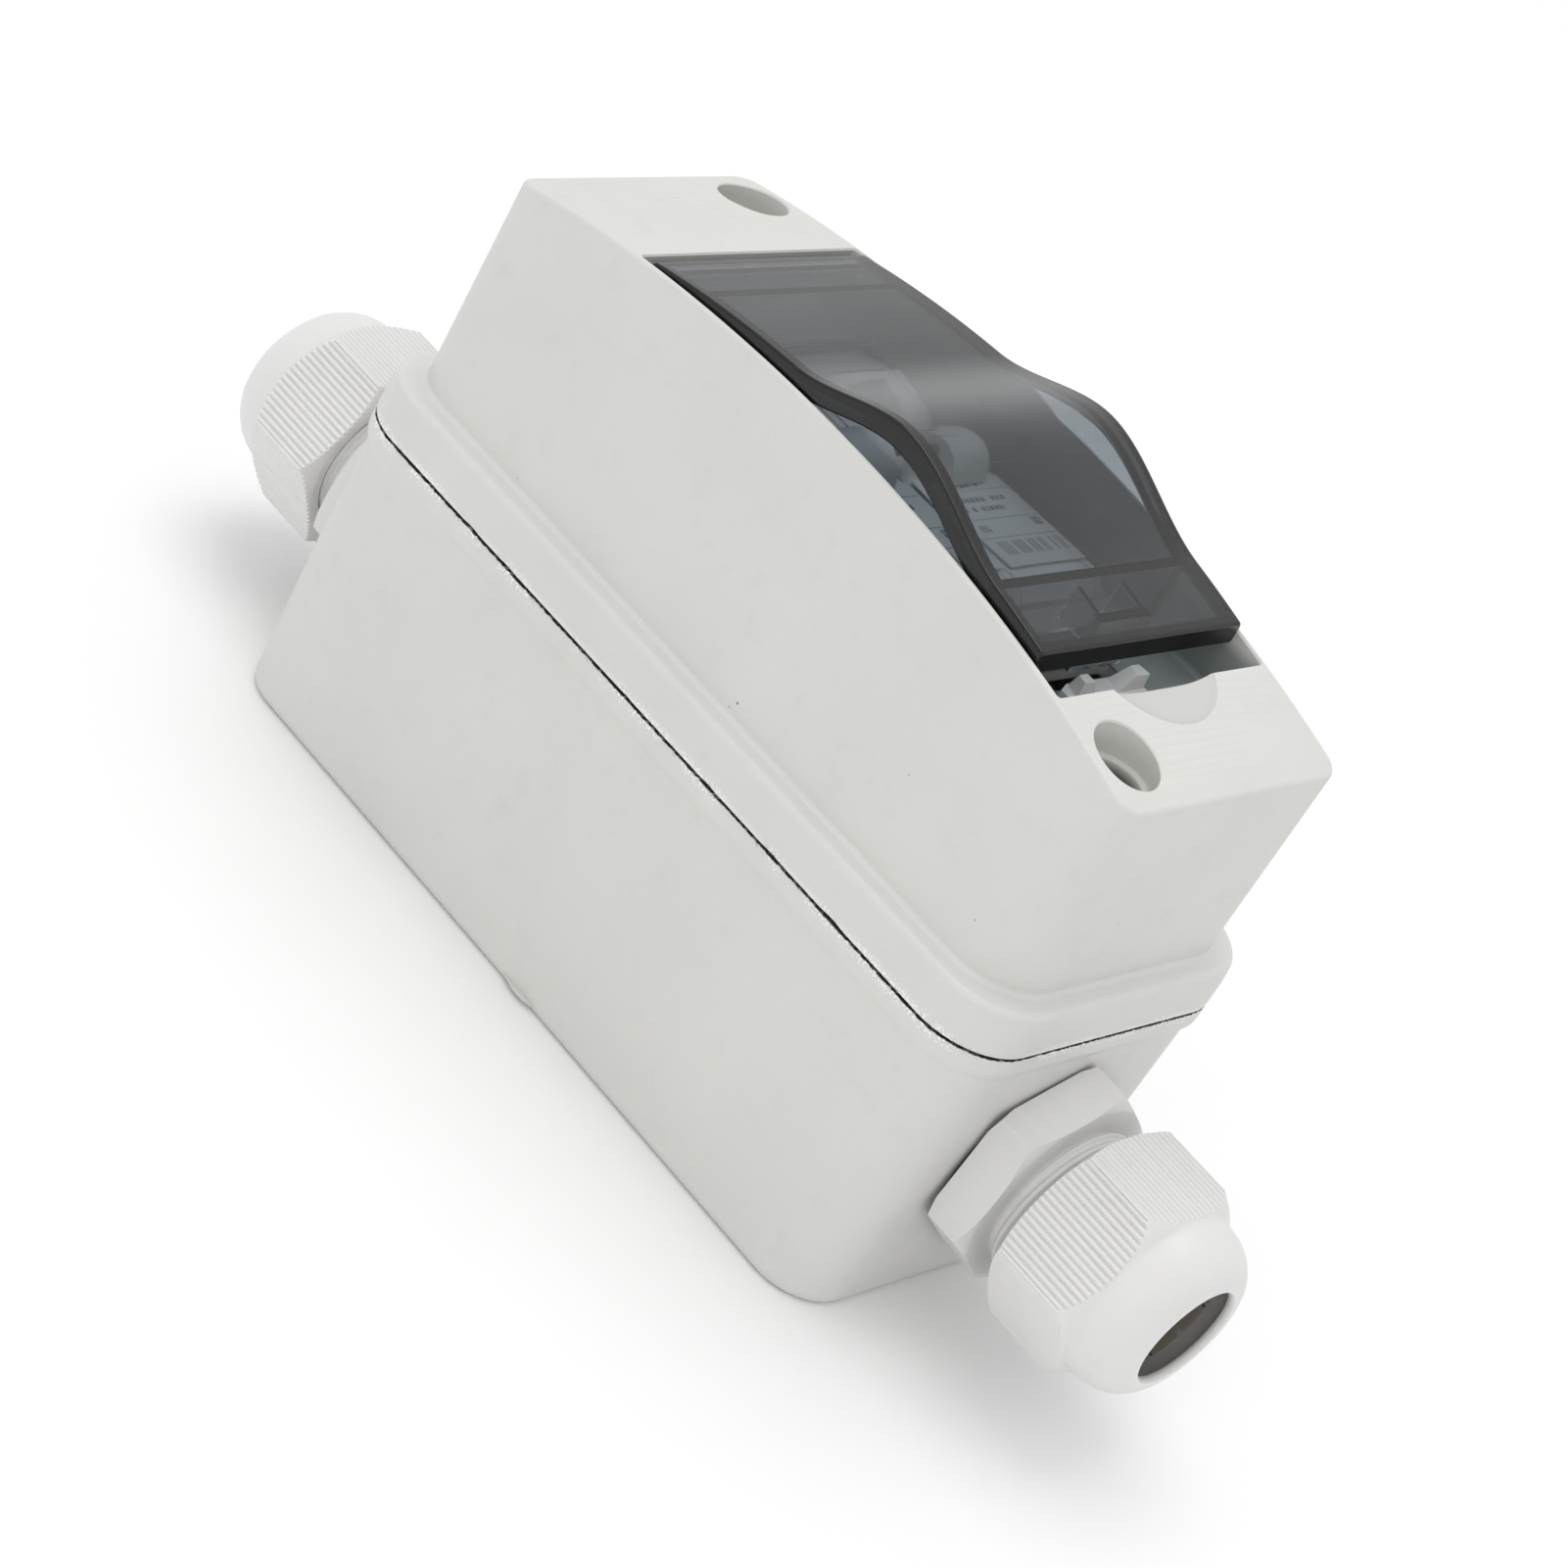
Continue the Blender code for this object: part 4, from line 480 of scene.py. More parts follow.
def moulded(name, colour, roughness, grain=0.35, grain_depth=0.012, patch=0.02, dirt=0.05, dots=0.0,
            scuffs=0.0, edge=0.08):
    """Moulded or cast surface: cloudy tone, fine grain, dark specks, pale scuffs, and edges lightened as
    wear with a painted highlight.
    """
    finish = Finish(name)
    cloud = finish.noise(CLOUD, 3.0)
    grime = finish.noise(GRIME, 5.0, roughness=0.62)
    tone = finish.remap(cloud, 0.3, 0.7, 1 - patch, 1 + patch)
    tone = finish.maths("SUBTRACT", tone, finish.fade(grime, 0.8, 0.55, dirt))
    shade = finish.blend(1.0, (*colour, 1), tone, "MULTIPLY")
    if dots:
        dark = finish.maths("MAXIMUM", *[finish.specks(spacing, size, dots) for spacing, size in SPECKS])
        shade = finish.blend(finish.product(dark, SPECK_STRENGTH), shade, (*SPECK_COLOUR, 1))
    marks = finish.streaks(SCRATCH, SCRATCH_WIDTH, 0.715, (0.4, 0.3, 0.9))
    if scuffs:
        pale = tuple(min(1.0, SCUFF_LIFT * value) for value in colour)
        shade = finish.blend(finish.product(marks, scuffs), shade, (*pale, 1))
    # Pointed edges painted lighter: partly wear, partly a painted highlight.
    worn = tuple(min(1.0, EDGE_WEAR_AND_HIGHLIGHT_LIFT * value) for value in colour)
    shade = finish.blend(finish.product(finish.edge_wear_and_highlight(), edge), shade, (*worn, 1))
    rough = finish.remap(grime, 0.25, 0.75, roughness - 0.05, roughness + 0.07)
    rough = finish.maths("ADD", rough, finish.product(marks, 0.12), clamp=True)
    grainy = finish.bump(finish.noise(grain, 2.0), grain_depth, under=finish.bump(cloud, 0.05))
    finish.feed(finish.shader, {"Base Color": shade, "Roughness": rough, "Normal": grainy})
    return finish


def machined(name, colour, roughness, tarnish):
    """Turned or pressed metal: fine lines around the work, cloudy tarnish and small pits."""
    finish = Finish(name)
    lines = finish.noise(TOOL_LINE, 3.0, finish.stretched((1.0, 1.0, 14.0), (0.3, 0.1, 0.0)))
    stain = finish.noise(TARNISH, 5.0, roughness=0.6)
    amount = finish.fade(stain, 0.75, 0.45, 0.65)
    shade = finish.blend(amount, (*colour, 1), (*tarnish, 1))
    rough = finish.maths("ADD", finish.remap(lines, 0.3, 0.7, roughness - 0.06, roughness + 0.08),
                         finish.product(amount, 0.15), clamp=True)
    pits = finish.bump(finish.specks(PIT_SPACING, PIT, 0.3), -0.03)
    finish.feed(finish.shader, {"Base Color": shade, "Roughness": rough, "Metallic": 1.0,
                                "Normal": finish.bump(lines, 0.01, under=pits)})
    return finish


# Smoked window: its colours, how fast it dims what crosses it, and the band round it painted near black as
# painted shade.
PANE_COLOUR, RIM_PAINTED_DARK, PANE_TINT = (0.97, 0.98, 1.0), (0.008, 0.009, 0.01), (0.20, 0.27, 0.30)
PANE_DENSITY, PANE_IOR, PANE_SHADOW = 450.0, 1.49, (0.92, 0.92, 0.92)
SIDE_BAND, FRONT_BAND = (1.25, 1.75), (1.4, 1.9)  # whole and gone, from the window's edge


def smoked_window_finish():
    """Dark polycarbonate: what crosses it is dimmed by its own depth, its edge band carries painted shade,
    its faces carry dust.
    """
    finish = Finish("smoked_window")
    smudge = finish.noise(11.0, 4.0, roughness=0.6)
    hair = finish.streaks(14.0, 0.3, 0.73, (0.2, 0.1, 0.5))
    rough = finish.maths("ADD", finish.remap(smudge, 0.35, 0.7, 0.012, 0.06),
                         finish.product(hair, 0.2), clamp=True)
    waves = finish.bump(finish.noise(16.0, 1.0), 0.05)
    x, y, _ = finish.coordinates()
    # The pane's sides and front are painted near black: painted shade for the long path through the rim.
    sides = finish.fade(finish.maths("ABSOLUTE", x), WINDOW_X - SIDE_BAND[0], WINDOW_X - SIDE_BAND[1])
    front = finish.fade(y, WINDOW_LOW + FRONT_BAND[0], WINDOW_LOW + FRONT_BAND[1])
    clear = finish.blend(finish.maths("MAXIMUM", sides, front), (*PANE_COLOUR, 1), (*RIM_PAINTED_DARK, 1))
    finish.feed(finish.shader, {"Base Color": clear, "Transmission Weight": 1.0, "IOR": PANE_IOR,
                                "Roughness": rough, "Normal": finish.bump(hair, 0.006, under=waves)})
    passing = finish.add("BsdfTransparent", {"Color": (*PANE_SHADOW, 1)})
    rays = finish.add("LightPath")
    shaders = {0: rays.outputs["Is Shadow Ray"], 1: finish.shader.outputs[0], 2: passing.outputs[0]}
    mixed = finish.add("MixShader", shaders)
    depth = finish.add("VolumeAbsorption", {"Color": (*PANE_TINT, 1), "Density": PANE_DENSITY})
    finish.feed(finish.output, {"Surface": mixed.outputs[0], "Volume": depth.outputs[0]})
    return finish


# Colours of the shell's marks; the seam gap, shelf, burr, dish, pocket and well colours are painted light
# and shade.
SEAM_GAP_SHADOW, NICK_SHADE, BURR_GLINT = (0.012, 0.012, 0.011), (0.2, 0.19, 0.17), (0.95, 0.95, 0.93)
SHELF_HIGHLIGHT, SCOOP_PAINTED_SHADE = (0.76, 0.76, 0.765), (0.25, 0.25, 0.24)
POCKET_PAINTED_SHADOW, WELL_PAINTED_SHADE = (0.165, 0.195, 0.195), (0.10, 0.10, 0.09)


def shell_finish():
    """Grey shell with painted shade in its seam gap, deep wells, finger dish and window pocket, and a
    painted highlight on its shelf.
    """
    finish = moulded("shell_plastic", (0.640, 0.636, 0.610), 0.42, dots=0.22, scuffs=0.4, edge=0.5)
    fade, maths, product = finish.fade, finish.maths, finish.product
    x, y, z = finish.coordinates()

    def from_axis(centre):
        """Distance from an upright axis."""
        gaps = [maths("SUBTRACT", value, spot) for value, spot in zip((x, y), centre)]
        squares = [product(gap, gap) for gap in gaps]
        return maths("SQRT", maths("ADD", *squares))

    def seam_marks():
        """The dark joint with painted shadow in its gap, pale burrs in places along it with a painted glint,
        and small nicks.
        """
        from_seam = maths("ABSOLUTE", maths("SUBTRACT", z, SEAM_Z))
        ragged = finish.remap(finish.noise(0.8, 2.0), 0.35, 0.65, -0.05, 0.05)
        # Joint line painted near black: painted shadow in the gap between lid and base.
        seam = fade(maths("ADD", from_seam, ragged), 0.21, 0.28, 0.95)
        # Burrs along the seam painted pale: real flash, carrying a painted glint.
        burrs = product(fade(finish.noise(0.4, 2.0), 0.58, 0.52, 0.9), fade(from_seam, 0.35, 1.6),
                        fade(finish.noise(8.0, 1.0), 0.53, 0.47))
        across = finish.stretched((1.0, 0.6, 1.4), (1.0, 0.4, 0.2))
        nicks = product(fade(finish.noise(0.5, 2.0, across), 0.66, 0.6, 0.5), fade(from_seam, 0.3, 0.9))
        return seam, burrs, nicks

    def pocket_shadow_mask():
        """Painted shadow of the smoked window inside its pocket, weaker near its mouth, its front wall and
        its rear.
        """
        return product(
            fade(z, 89.6, 91.4, 0.8),
            fade(z, POCKET_Z - 0.1, POCKET_Z - 0.5),
            fade(maths("ABSOLUTE", x), POCKET_X + 0.1, POCKET_X + 0.3),
            fade(y, POCKET_LOW, POCKET_LOW - 0.2),
            fade(y, POCKET_HIGH, POCKET_HIGH + 0.2),
            finish.remap(y, POCKET_LOW, -40.0, 0.62, 1.0),
            finish.remap(y, -35.0, -26.0, 1.0, 0.35))

    seam, burrs, nicks = seam_marks()
    # Painted highlight on the flange shelf, which faces up.
    upward_shelf_lit = product(fade(z, SHELF_Z - 0.2, SHELF_Z - 0.9, 0.3), fade(z, SHELF_Z + 0.4, SHELF_Z + 0.9))
    # Painted shade in the finger dish.
    scoop = product(fade(from_axis((0.0, SCOOP_Y)), SCOOP_RADIUS - 0.3, SCOOP_RADIUS, 0.13),
                    fade(z, 84.0, 82.0))
    marks = [(upward_shelf_lit, SHELF_HIGHLIGHT), (burrs, BURR_GLINT), (nicks, NICK_SHADE), (scoop, SCOOP_PAINTED_SHADE),
             (pocket_shadow_mask(), POCKET_PAINTED_SHADOW)]
    # Painted shade deep in each screw well, below its ledge.
    for centre in SCREWS.values():
        deep_well_shade = fade(from_axis((centre.x, centre.y)), WELL_RADIUS, WELL_RADIUS + 0.1, 0.9)
        marks.append((product(deep_well_shade, fade(z, 84.2, 85.4)), WELL_PAINTED_SHADE))
    marks.append((seam, SEAM_GAP_SHADOW))
    shade = finish.shade()
    for mask, colour in marks:
        shade = finish.blend(mask, shade, (*colour, 1))
    finish.feed(finish.shader, {"Base Color": shade})
    return finish


INK, UNPRINTED_SHARE = (0.06, 0.07, 0.09), 0.22
RULES = (-2.3, -8.7, -12.8)  # places of the thin rules along the label
# Rows of printed cells: extent across and along the label, cell width, inked share, seed.
PRINTED_ROWS = (((-6.5, 2.5), (-1.5, -0.4), 0.95, 0.66, 3.0), ((-6.5, 5.0), (-4.9, -3.9), 1.05, 0.7, 11.0),
                ((-6.5, 3.0), (-7.0, -6.0), 0.9, 0.7, 23.0), ((-6.3, -4.2), (-11.5, -10.0), 0.7, 0.6, 31.0),
                ((5.6, 7.4), (-11.0, -9.2), 0.9, 0.75, 41.0), ((-6.6, 7.2), (-16.6, -13.6), 0.62, 0.5, 57.0))


def label_finish(name, centre):
    """Printed plate: rules, rows of small blocks in place of words, and a bar pattern."""
    finish = moulded(name, (0.66, 0.68, 0.68), 0.42, grain=0.25, grain_depth=0.004, patch=0.015, dirt=0.03)
    maths, product = finish.maths, finish.product
    x, along, _ = finish.coordinates()
    across = maths("SUBTRACT", x, centre)

    def inside(value, first, last):
        return product(maths("GREATER_THAN", value, first), maths("LESS_THAN", value, last))

    def rule(place_along):
        return product(inside(across, -8.0, 8.0), inside(along, place_along - 0.07, place_along + 0.07))

    def row(x_range, y_range, pitch, filled, seed):
        cell = maths("DIVIDE", across, pitch)
        number = maths("ADD", maths("FLOOR", cell), seed)
        pick = finish.add("TexWhiteNoise", {"W": number}, noise_dimensions="1D").outputs[0]
        return product(inside(across, *x_range), inside(along, *y_range),
                       maths("LESS_THAN", maths("FRACT", cell), filled),
                       maths("GREATER_THAN", pick, UNPRINTED_SHARE))

    ink = 0.0
    for area in [rule(place_along) for place_along in RULES] + [row(*printed) for printed in PRINTED_ROWS]:
        ink = maths("MAXIMUM", ink, area)
    worn = product(ink, finish.remap(finish.noise(0.6, 3.0), 0.3, 0.5, 0.6, 0.92))
    finish.feed(finish.shader, {"Base Color": finish.blend(worn, finish.shade(), (*INK, 1))})
    return finish


def make_finishes():
    gland = {"grain": 0.28, "dots": 0.10, "scuffs": 0.2}
    finishes = [
        shell_finish(),
        smoked_window_finish(),
        moulded("gland_plastic", (0.655, 0.650, 0.646), 0.4, edge=0.3, **gland),
        moulded("nut_plastic", (0.725, 0.719, 0.714), 0.4, edge=0.2, **gland),
        moulded("claw_plastic", (0.20, 0.18, 0.14), 0.45, dirt=0.2),
        moulded("light_plastic", (0.72, 0.72, 0.71), 0.38, dots=0.08),
        moulded("breaker_plastic", (0.72, 0.73, 0.73), 0.45, grain=0.4, grain_depth=0.02),
        moulded("lever_plastic", (0.60, 0.61, 0.62), 0.35, grain=0.3, dirt=0.08),
        moulded("black_plastic", (0.028, 0.028, 0.030), 0.5, dirt=0.2, scuffs=0.5, edge=0.3),
        moulded("black_rubber", (0.022, 0.022, 0.023), 0.72, grain=0.2, dirt=0.25, scuffs=0.5),
        moulded("brown_rubber", (0.17, 0.13, 0.075), 0.66, grain=0.22, dirt=0.25, patch=0.08),
        machined("bright_steel", (0.72, 0.71, 0.69), 0.27, (0.45, 0.43, 0.40)),
        machined("zinc_steel", (0.66, 0.68, 0.70), 0.36, (0.48, 0.48, 0.43)),
        machined("copper", (0.78, 0.40, 0.24), 0.3, (0.35, 0.17, 0.09)),
    ]
    for side in SIDES:
        label = "pole_label_" + side
        finishes.append(label_finish(label, middle(label).x))
    return {finish.name: finish.material for finish in finishes}


FINISHES = make_finishes()


# ---- shell
def base_wall(z):
    return between(BASE_FOOT, BASE_HEAD, z / SEAM_Z)


def lid_wall(z):
    return between(LID_FOOT, LID_HEAD, (z - LID_FOOT_Z) / (LID_HEAD_Z - LID_FOOT_Z))


def arch(y):
    """Level of the lid's barrel-shaped front."""
    return ARCH_PEAK - ARCH_RADIUS + sqrt(ARCH_RADIUS ** 2 - (y - ARCH_PEAK_Y) ** 2)


def chip(x, y):
    """How far the lid's lower edge is broken away at a point."""
    depth = 0.0
    for side, centre, half_length, size in SEAM_CHIPS:
        on_side = x < -RIM_X + CHIP_BAND if side == "x" else y < -RIM_Y + CHIP_BAND
        gap = abs((y if side == "x" else x) - centre) / half_length
        if on_side and gap < 1:
            ragged = 1 - CHIP_RAGGED + CHIP_RAGGED * sin(CHIP_WAVE * (x + y))
            depth = max(depth, size * ragged * (1 - gap * gap))
    return depth


def base_skin():
    """The base is one closed skin, from its back up the outside and down the inside."""
    rings = [ring(inset(base_wall(0), side), back) for back, side in rolls(BACK_ROUND, 4)]
    rings += [ring(base_wall(z), z) for z in (BACK_ROUND + NEAR_RING, *BASE_LEVELS, BLEND_LOW_Z)]
    for step in range(1, BLEND_STEPS + 1):
        z = lerp(BLEND_LOW_Z, BLEND_HIGH_Z, step / BLEND_STEPS)
        rings.append(ring(between(base_wall(z), RIM, ease(step / BLEND_STEPS)), z))
    rings += [ring(RIM, BLEND_HIGH_Z + NEAR_RING), ring(RIM, BASE_TOP - FAR_RING)]
    rings += [ring(inset(RIM, side), BASE_TOP - top) for side, top in rolls(SEAM_ROUND, 3)]
    outer, inner, depth = GROOVE_OUTER, GROOVE_INNER, GROOVE_DEPTH
    groove = ((outer, 0), (outer, depth), (inner, depth), (inner, 0))
    rings += [ring(inset(RIM, side), BASE_TOP - drop) for side, drop in groove]
    inner_levels = (BASE_TOP, BASE_LEVELS[1], BASE_FLOOR_Z + FLOOR_FILLET)
    rings += [ring(inset(base_wall(z), BASE_WALL), z) for z in inner_levels]
    floor = base_wall(BASE_FLOOR_Z)
    rings += [ring(inset(floor, BASE_WALL + side), BASE_FLOOR_Z + rise)
              for side, rise in rolls(FLOOR_FILLET, 3)[1:]]
    return skin("shell_base", rings)


def lug(sign):
    """Low lug on a long side: it leans outwards from its foot and is widest in its middle."""
    rows = []
    for y, reach in LUG:
        section = ((LUG_ROOT_X, LUG_FOOT_Z), (reach - LUG_LEAN, LUG_FOOT_Z), (reach, LUG_EDGE_Z),
                   (LUG_ROOT_X, LUG_ROOT_Z))
        rows.append([(sign * x, y, z) for x, z in section])
    return skin("lug", rows)


def build_base():
    base = base_skin()
    added, removed = [], []
    for sign in (-1, 1):
        added.append(upright("post", RAIL_POST, sign * RAIL_SCREW_X, 0, 48))
        added.append(lug(sign))
        removed.append(upright("pilot", RAIL_PILOT, sign * RAIL_SCREW_X, 0, 32))
        removed.append(upright("mounting_hole", MOUNTING_HOLE, 0, sign * MOUNTING_HOLE_Y, 40))
        wall = (0, sign * END_WALL_Y, GLAND_Z)
        removed.append(lathe("entry", GLAND_ENTRY, wall, (0, sign, 0), 72))
    for centre in SCREWS.values():
        added.append(upright("boss", LID_BOSS, centre.x, centre.y, 48))
        removed.append(upright("pilot", LID_PILOT, centre.x, centre.y, 32))
    boolean(base, added, "UNION")
    boolean(base, removed)
    smooth(base)
    place(base, "base_case", "shell_plastic")


def flared(name, centre, rows, lip, steps):
    """Cutter with a rounded lip where it meets the arched front; rows are (size, level)."""
    rings = [ring(size, level, steps, centre) for size, level in rows]
    size = rows[-1][0]
    for angle in (0.0, 25.0, 50.0, 72.0):
        out, rise = 1 - cos(radians(angle)), sin(radians(angle)) - 1
        wide = tuple(length + lip * out for length in size)
        rings.append(ring(wide, lambda y, rise=rise: arch(y) + lip * rise, steps, centre))
    rings.append(ring(tuple(length + lip for length in size), CLEAR_Z, steps, centre))
    return skin(name, rings)


def lid_skin():
    """The lid is one closed skin, from its front over the rim and up the inside."""
    rings = [ring(lambda z: inset(lid_wall(z), side), lambda y: arch(y) - top)
             for side, top in reversed(rolls(TOP_ROUND, 4))]
    wall_foot = SHELF_Z + SHELF_FILLET
    for share in (0.85, 0.65, 0.45, 0.25, 0.1):
        rings.append(ring(lid_wall, lambda y: lerp(wall_foot, arch(y) - TOP_ROUND, share)))
    foot = lid_wall(wall_foot)
    rings += [ring(inset(foot, -side), SHELF_Z + rise) for side, rise in rolls(SHELF_FILLET, 4)]
    rings += [ring(inset(RIM, SHOULDER_INSET + side), SHELF_Z - SHOULDER_INSET - top)
              for side, top in reversed(rolls(SHOULDER_ROUND, 5))]
    rings += [ring(RIM, LID_RIM_TOP_Z), ring(RIM, LID_FOOT_EDGE + FAR_RING)]
    for side, rise in rolls(SEAM_ROUND, 3):
        edge = ring(inset(RIM, side), LID_FOOT_EDGE + rise)
        rings.append([(x, y, z + chip(x, y)) for x, y, z in edge])
    inner = inset(RIM, LID_RIM_WALL)
    rings += [ring(inner, LID_FOOT_EDGE), ring(inner, LID_RIM_CEILING_Z)]
    rings += [ring(inset(lid_wall(z), LID_WALL), z) for z in LID_INNER_LEVELS]
    return skin("shell_lid", rings, mirror_first=True)


def pocket_cutter():
    """Window pocket: a floor with a fillet, straight walls and a rounded lip."""
    half_y = (POCKET_HIGH - POCKET_LOW) / 2
    rows = [((POCKET_X - side, half_y - side, POCKET_CORNER), POCKET_Z + rise)
            for rise, side in rolls(POCKET_FILLET, 3)]
    return flared("pocket", (0, (POCKET_LOW + POCKET_HIGH) / 2), rows, POCKET_LIP, (5, 60))


def scoop_cutter():
    rings = []
    for share in SCOOP_SHARES:
        sink = SCOOP_DEPTH * (share ** SCOOP_POWER - 1) - SCOOP_EDGE_DROP
        rings.append(disc(SCOOP_RADIUS * share, lambda y, sink=sink: arch(y) + sink, (0, SCOOP_Y)))
    for out, rise in SCOOP_LIP:
        rings.append(disc(SCOOP_RADIUS + out, lambda y, rise=rise: arch(y) + rise, (0, SCOOP_Y)))
    rings.append(disc(SCOOP_RADIUS + 0.5, CLEAR_Z, (0, SCOOP_Y)))
    return skin("scoop", rings)


def well_cutter(centre):
    """Deep screw well: a narrow bore up to a ledge, then a wider mouth, its edges eased."""
    ledge = arch(centre.y) - LEDGE_DEPTH
    outline = ((LEDGE_RADIUS, WELL_SEAT_Z), (LEDGE_RADIUS, ledge - 0.3), (LEDGE_RADIUS + 0.2, ledge),
               (WELL_RADIUS - 0.1, ledge + 0.02), (WELL_RADIUS, ledge + 0.15))
    rows = [(round_size(radius), level) for radius, level in outline]
    return flared("well", (centre.x, centre.y), rows, WELL_LIP, (16, 1))


def build_lid():
    lid = lid_skin()
    tray_x, tray_top = POCKET_X + TRAY_SIDE, LID_CEILING_Z + OVERLAP
    added = [block("tray", (-tray_x, POCKET_LOW - TRAY_END, POCKET_Z - TRAY_FLOOR),
                   (tray_x, POCKET_HIGH + TRAY_END, tray_top), TRAY_CORNER)]
    removed = [pocket_cutter(), block("nose_slot", *NOSE_SLOT), block("catch_slot", *CATCH_SLOT),
               scoop_cutter()]
    tube = ((WELL_TUBE, WELL_SEAT_Z - WELL_SEAT_THICK), (WELL_TUBE, tray_top))
    for centre in SCREWS.values():
        added.append(upright("tube", tube, centre.x, centre.y, 56))
        removed.append(well_cutter(centre))
        removed.append(upright("shank_hole", SHANK_HOLE, centre.x, centre.y, 32))
    removed.append(hinge_rod("hinge_sockets", SOCKET_RADIUS, SOCKET_REACH, 24))
    boolean(lid, added, "UNION")
    boolean(lid, removed)
    smooth(lid)
    place(lid, "lid", "shell_plastic")


# ---- window
def window_top(y):
    """Level of the window's outer face: an arch with a hump over the levers."""
    crown = CROWN_Z - CROWN_RADIUS + sqrt(CROWN_RADIUS ** 2 - (y - CROWN_Y) ** 2)
    rear, front = ease((HUMP_REAR_Y - y) / HUMP_REAR_RUN), ease((y - HUMP_FRONT_Y) / HUMP_FRONT_RUN)
    return crown + HUMP_RISE * rear * front


def window_section(y, drop, depth):
    """Section across the window: a sheet depth thick, with a deeper rim along each side.

    Where the ends are rounded, drop lowers the outer face and draws the sides in a little.
    """
    outer = window_top(y)
    top, edge = outer - drop, WINDOW_X - END_NARROWING * drop
    foot, rim_x = outer - RIM_DEPTH, WINDOW_X - RIM_THICK
    bevel = INNER_BEVEL if depth < RIM_DEPTH else 0.0
    inner = [(edge - RIM_BEVEL[0], foot), (rim_x, foot), (rim_x, outer - depth - bevel),
             (rim_x - INNER_BEVEL, outer - depth)]
    inner += [(edge * share, outer - depth) for share in SHEET_SHARES]
    half = [(edge, foot + RIM_BEVEL[1])]
    half += [(edge - side, top - fall) for side, fall in rolls(SHEET_ROUND, 3)]
    half += [(edge * share, top) for share in SHEET_SHARES]
    right = [*reversed(inner), *half]
    return [(x, y, z) for x, z in right] + [(-x, y, z) for x, z in reversed(right)]


def window_skin():
    """The pane from its front end to its hinge end, as sections of (place, drop, depth)."""
    low_rim, high_rim = WINDOW_LOW + RIM_THICK, WINDOW_HIGH - RIM_THICK
    first, last = low_rim + SHEET_START, high_rim - SHEET_START
    stations = [(WINDOW_LOW + back, drop, RIM_DEPTH) for back, drop in rolls(FRONT_ROUND, 3)]
    stations += [(low_rim, 0.0, RIM_DEPTH), (low_rim + RIM_STEP, 0.0, SHEET)]
    stations += [(lerp(first, last, step / WINDOW_STEPS), 0.0, SHEET) for step in range(WINDOW_STEPS + 1)]
    stations += [(high_rim - RIM_STEP, 0.0, SHEET), (high_rim, 0.0, RIM_DEPTH)]
    stations += [(WINDOW_HIGH - back, drop, RIM_DEPTH) for drop, back in rolls(REAR_ROUND, 2)]
    return skin("window_pane", [window_section(*station) for station in stations])


def rib(name, x_range, y_range, bottom, steps=2):
    """Upright wall that rises into the window's sheet along its length."""
    rings = []
    for step in range(steps + 1):
        y = lerp(*y_range, step / steps)
        top = window_top(y) - SHEET / 2
        near_x, far_x = x_range
        rings.append([(near_x, y, bottom), (far_x, y, bottom), (far_x, y, top), (near_x, y, top)])
    return skin(name, rings)


def build_window():
    window = window_skin()
    foot = low("window").z
    across = SKIRT_X - CROSS_WALL_INSET
    added = []
    for sign in (-1, 1):
        wall_x = (sign * SKIRT_X, sign * (SKIRT_X - SKIRT_THICK))
        added.append(rib("side_wall", wall_x, (SKIRT_LOW, SKIRT_HIGH), foot, 40))
    for y in (SKIRT_LOW, SKIRT_HIGH - SKIRT_THICK):
        added.append(rib("cross_wall", (-across, across), (y, y + SKIRT_THICK), foot))
    added.append(rib("tongue", (-TONGUE_X, TONGUE_X), TONGUE_Y, foot + TONGUE_RISE))
    for sign in (-1, 1):
        added.append(rib("gusset", [sign * x for x in GUSSET_X], GUSSET_Y, GUSSET_Z))
    added.append(hinge_rod("barrel", BARREL_RADIUS, BARREL_REACH, 40))
    boolean(window, added, "UNION")
    boolean(window, [hinge_rod("bore", BORE_RADIUS, BORE_REACH, 32)])
    smooth(window, 32.0)
    place(window, "window", "smoked_window")


# ---- catch
def build_catch():
    """A low foot with a narrow tooth on one side and a wide arm that leans outwards."""
    bottom, top = low("window_catch").z, high("window_catch").z
    foot = [(-8.6, -42.2), (7.6, -42.2), (7.6, -39.4), (5.6, -38.7), (-6.6, -38.7), (-8.6, -39.6)]
    tooth = [((-7.4, -41.6), (-3.2, -41.6), (-3.2, -38.8), (-6.6, -38.8)),
             ((-6.6, -41.0), (-4.4, -41.0), (-4.4, -39.4), (-6.2, -39.4))]
    arm = [((0.6, -41.8), (7.0, -41.8), (6.0, -38.8), (1.4, -38.8)),
           ((4.6, -41.2), (7.55, -41.2), (7.2, -39.2), (5.4, -39.2))]

    def risen(name, outlines, levels):
        """Solid between two outlines of (x, y), each at its level."""
        return skin(name, [[(x, y, z) for x, y in outline] for outline, z in zip(outlines, levels)])

    catch = risen("catch", (foot, foot), (bottom, bottom + CATCH_FOOT))
    upper = (bottom + CATCH_ROOT, top)
    boolean(catch, [risen("tooth", tooth, upper), risen("arm", arm, upper)], "UNION")
    soften(catch, CATCH_ROUND)
    place(catch, "window_catch", "light_plastic")


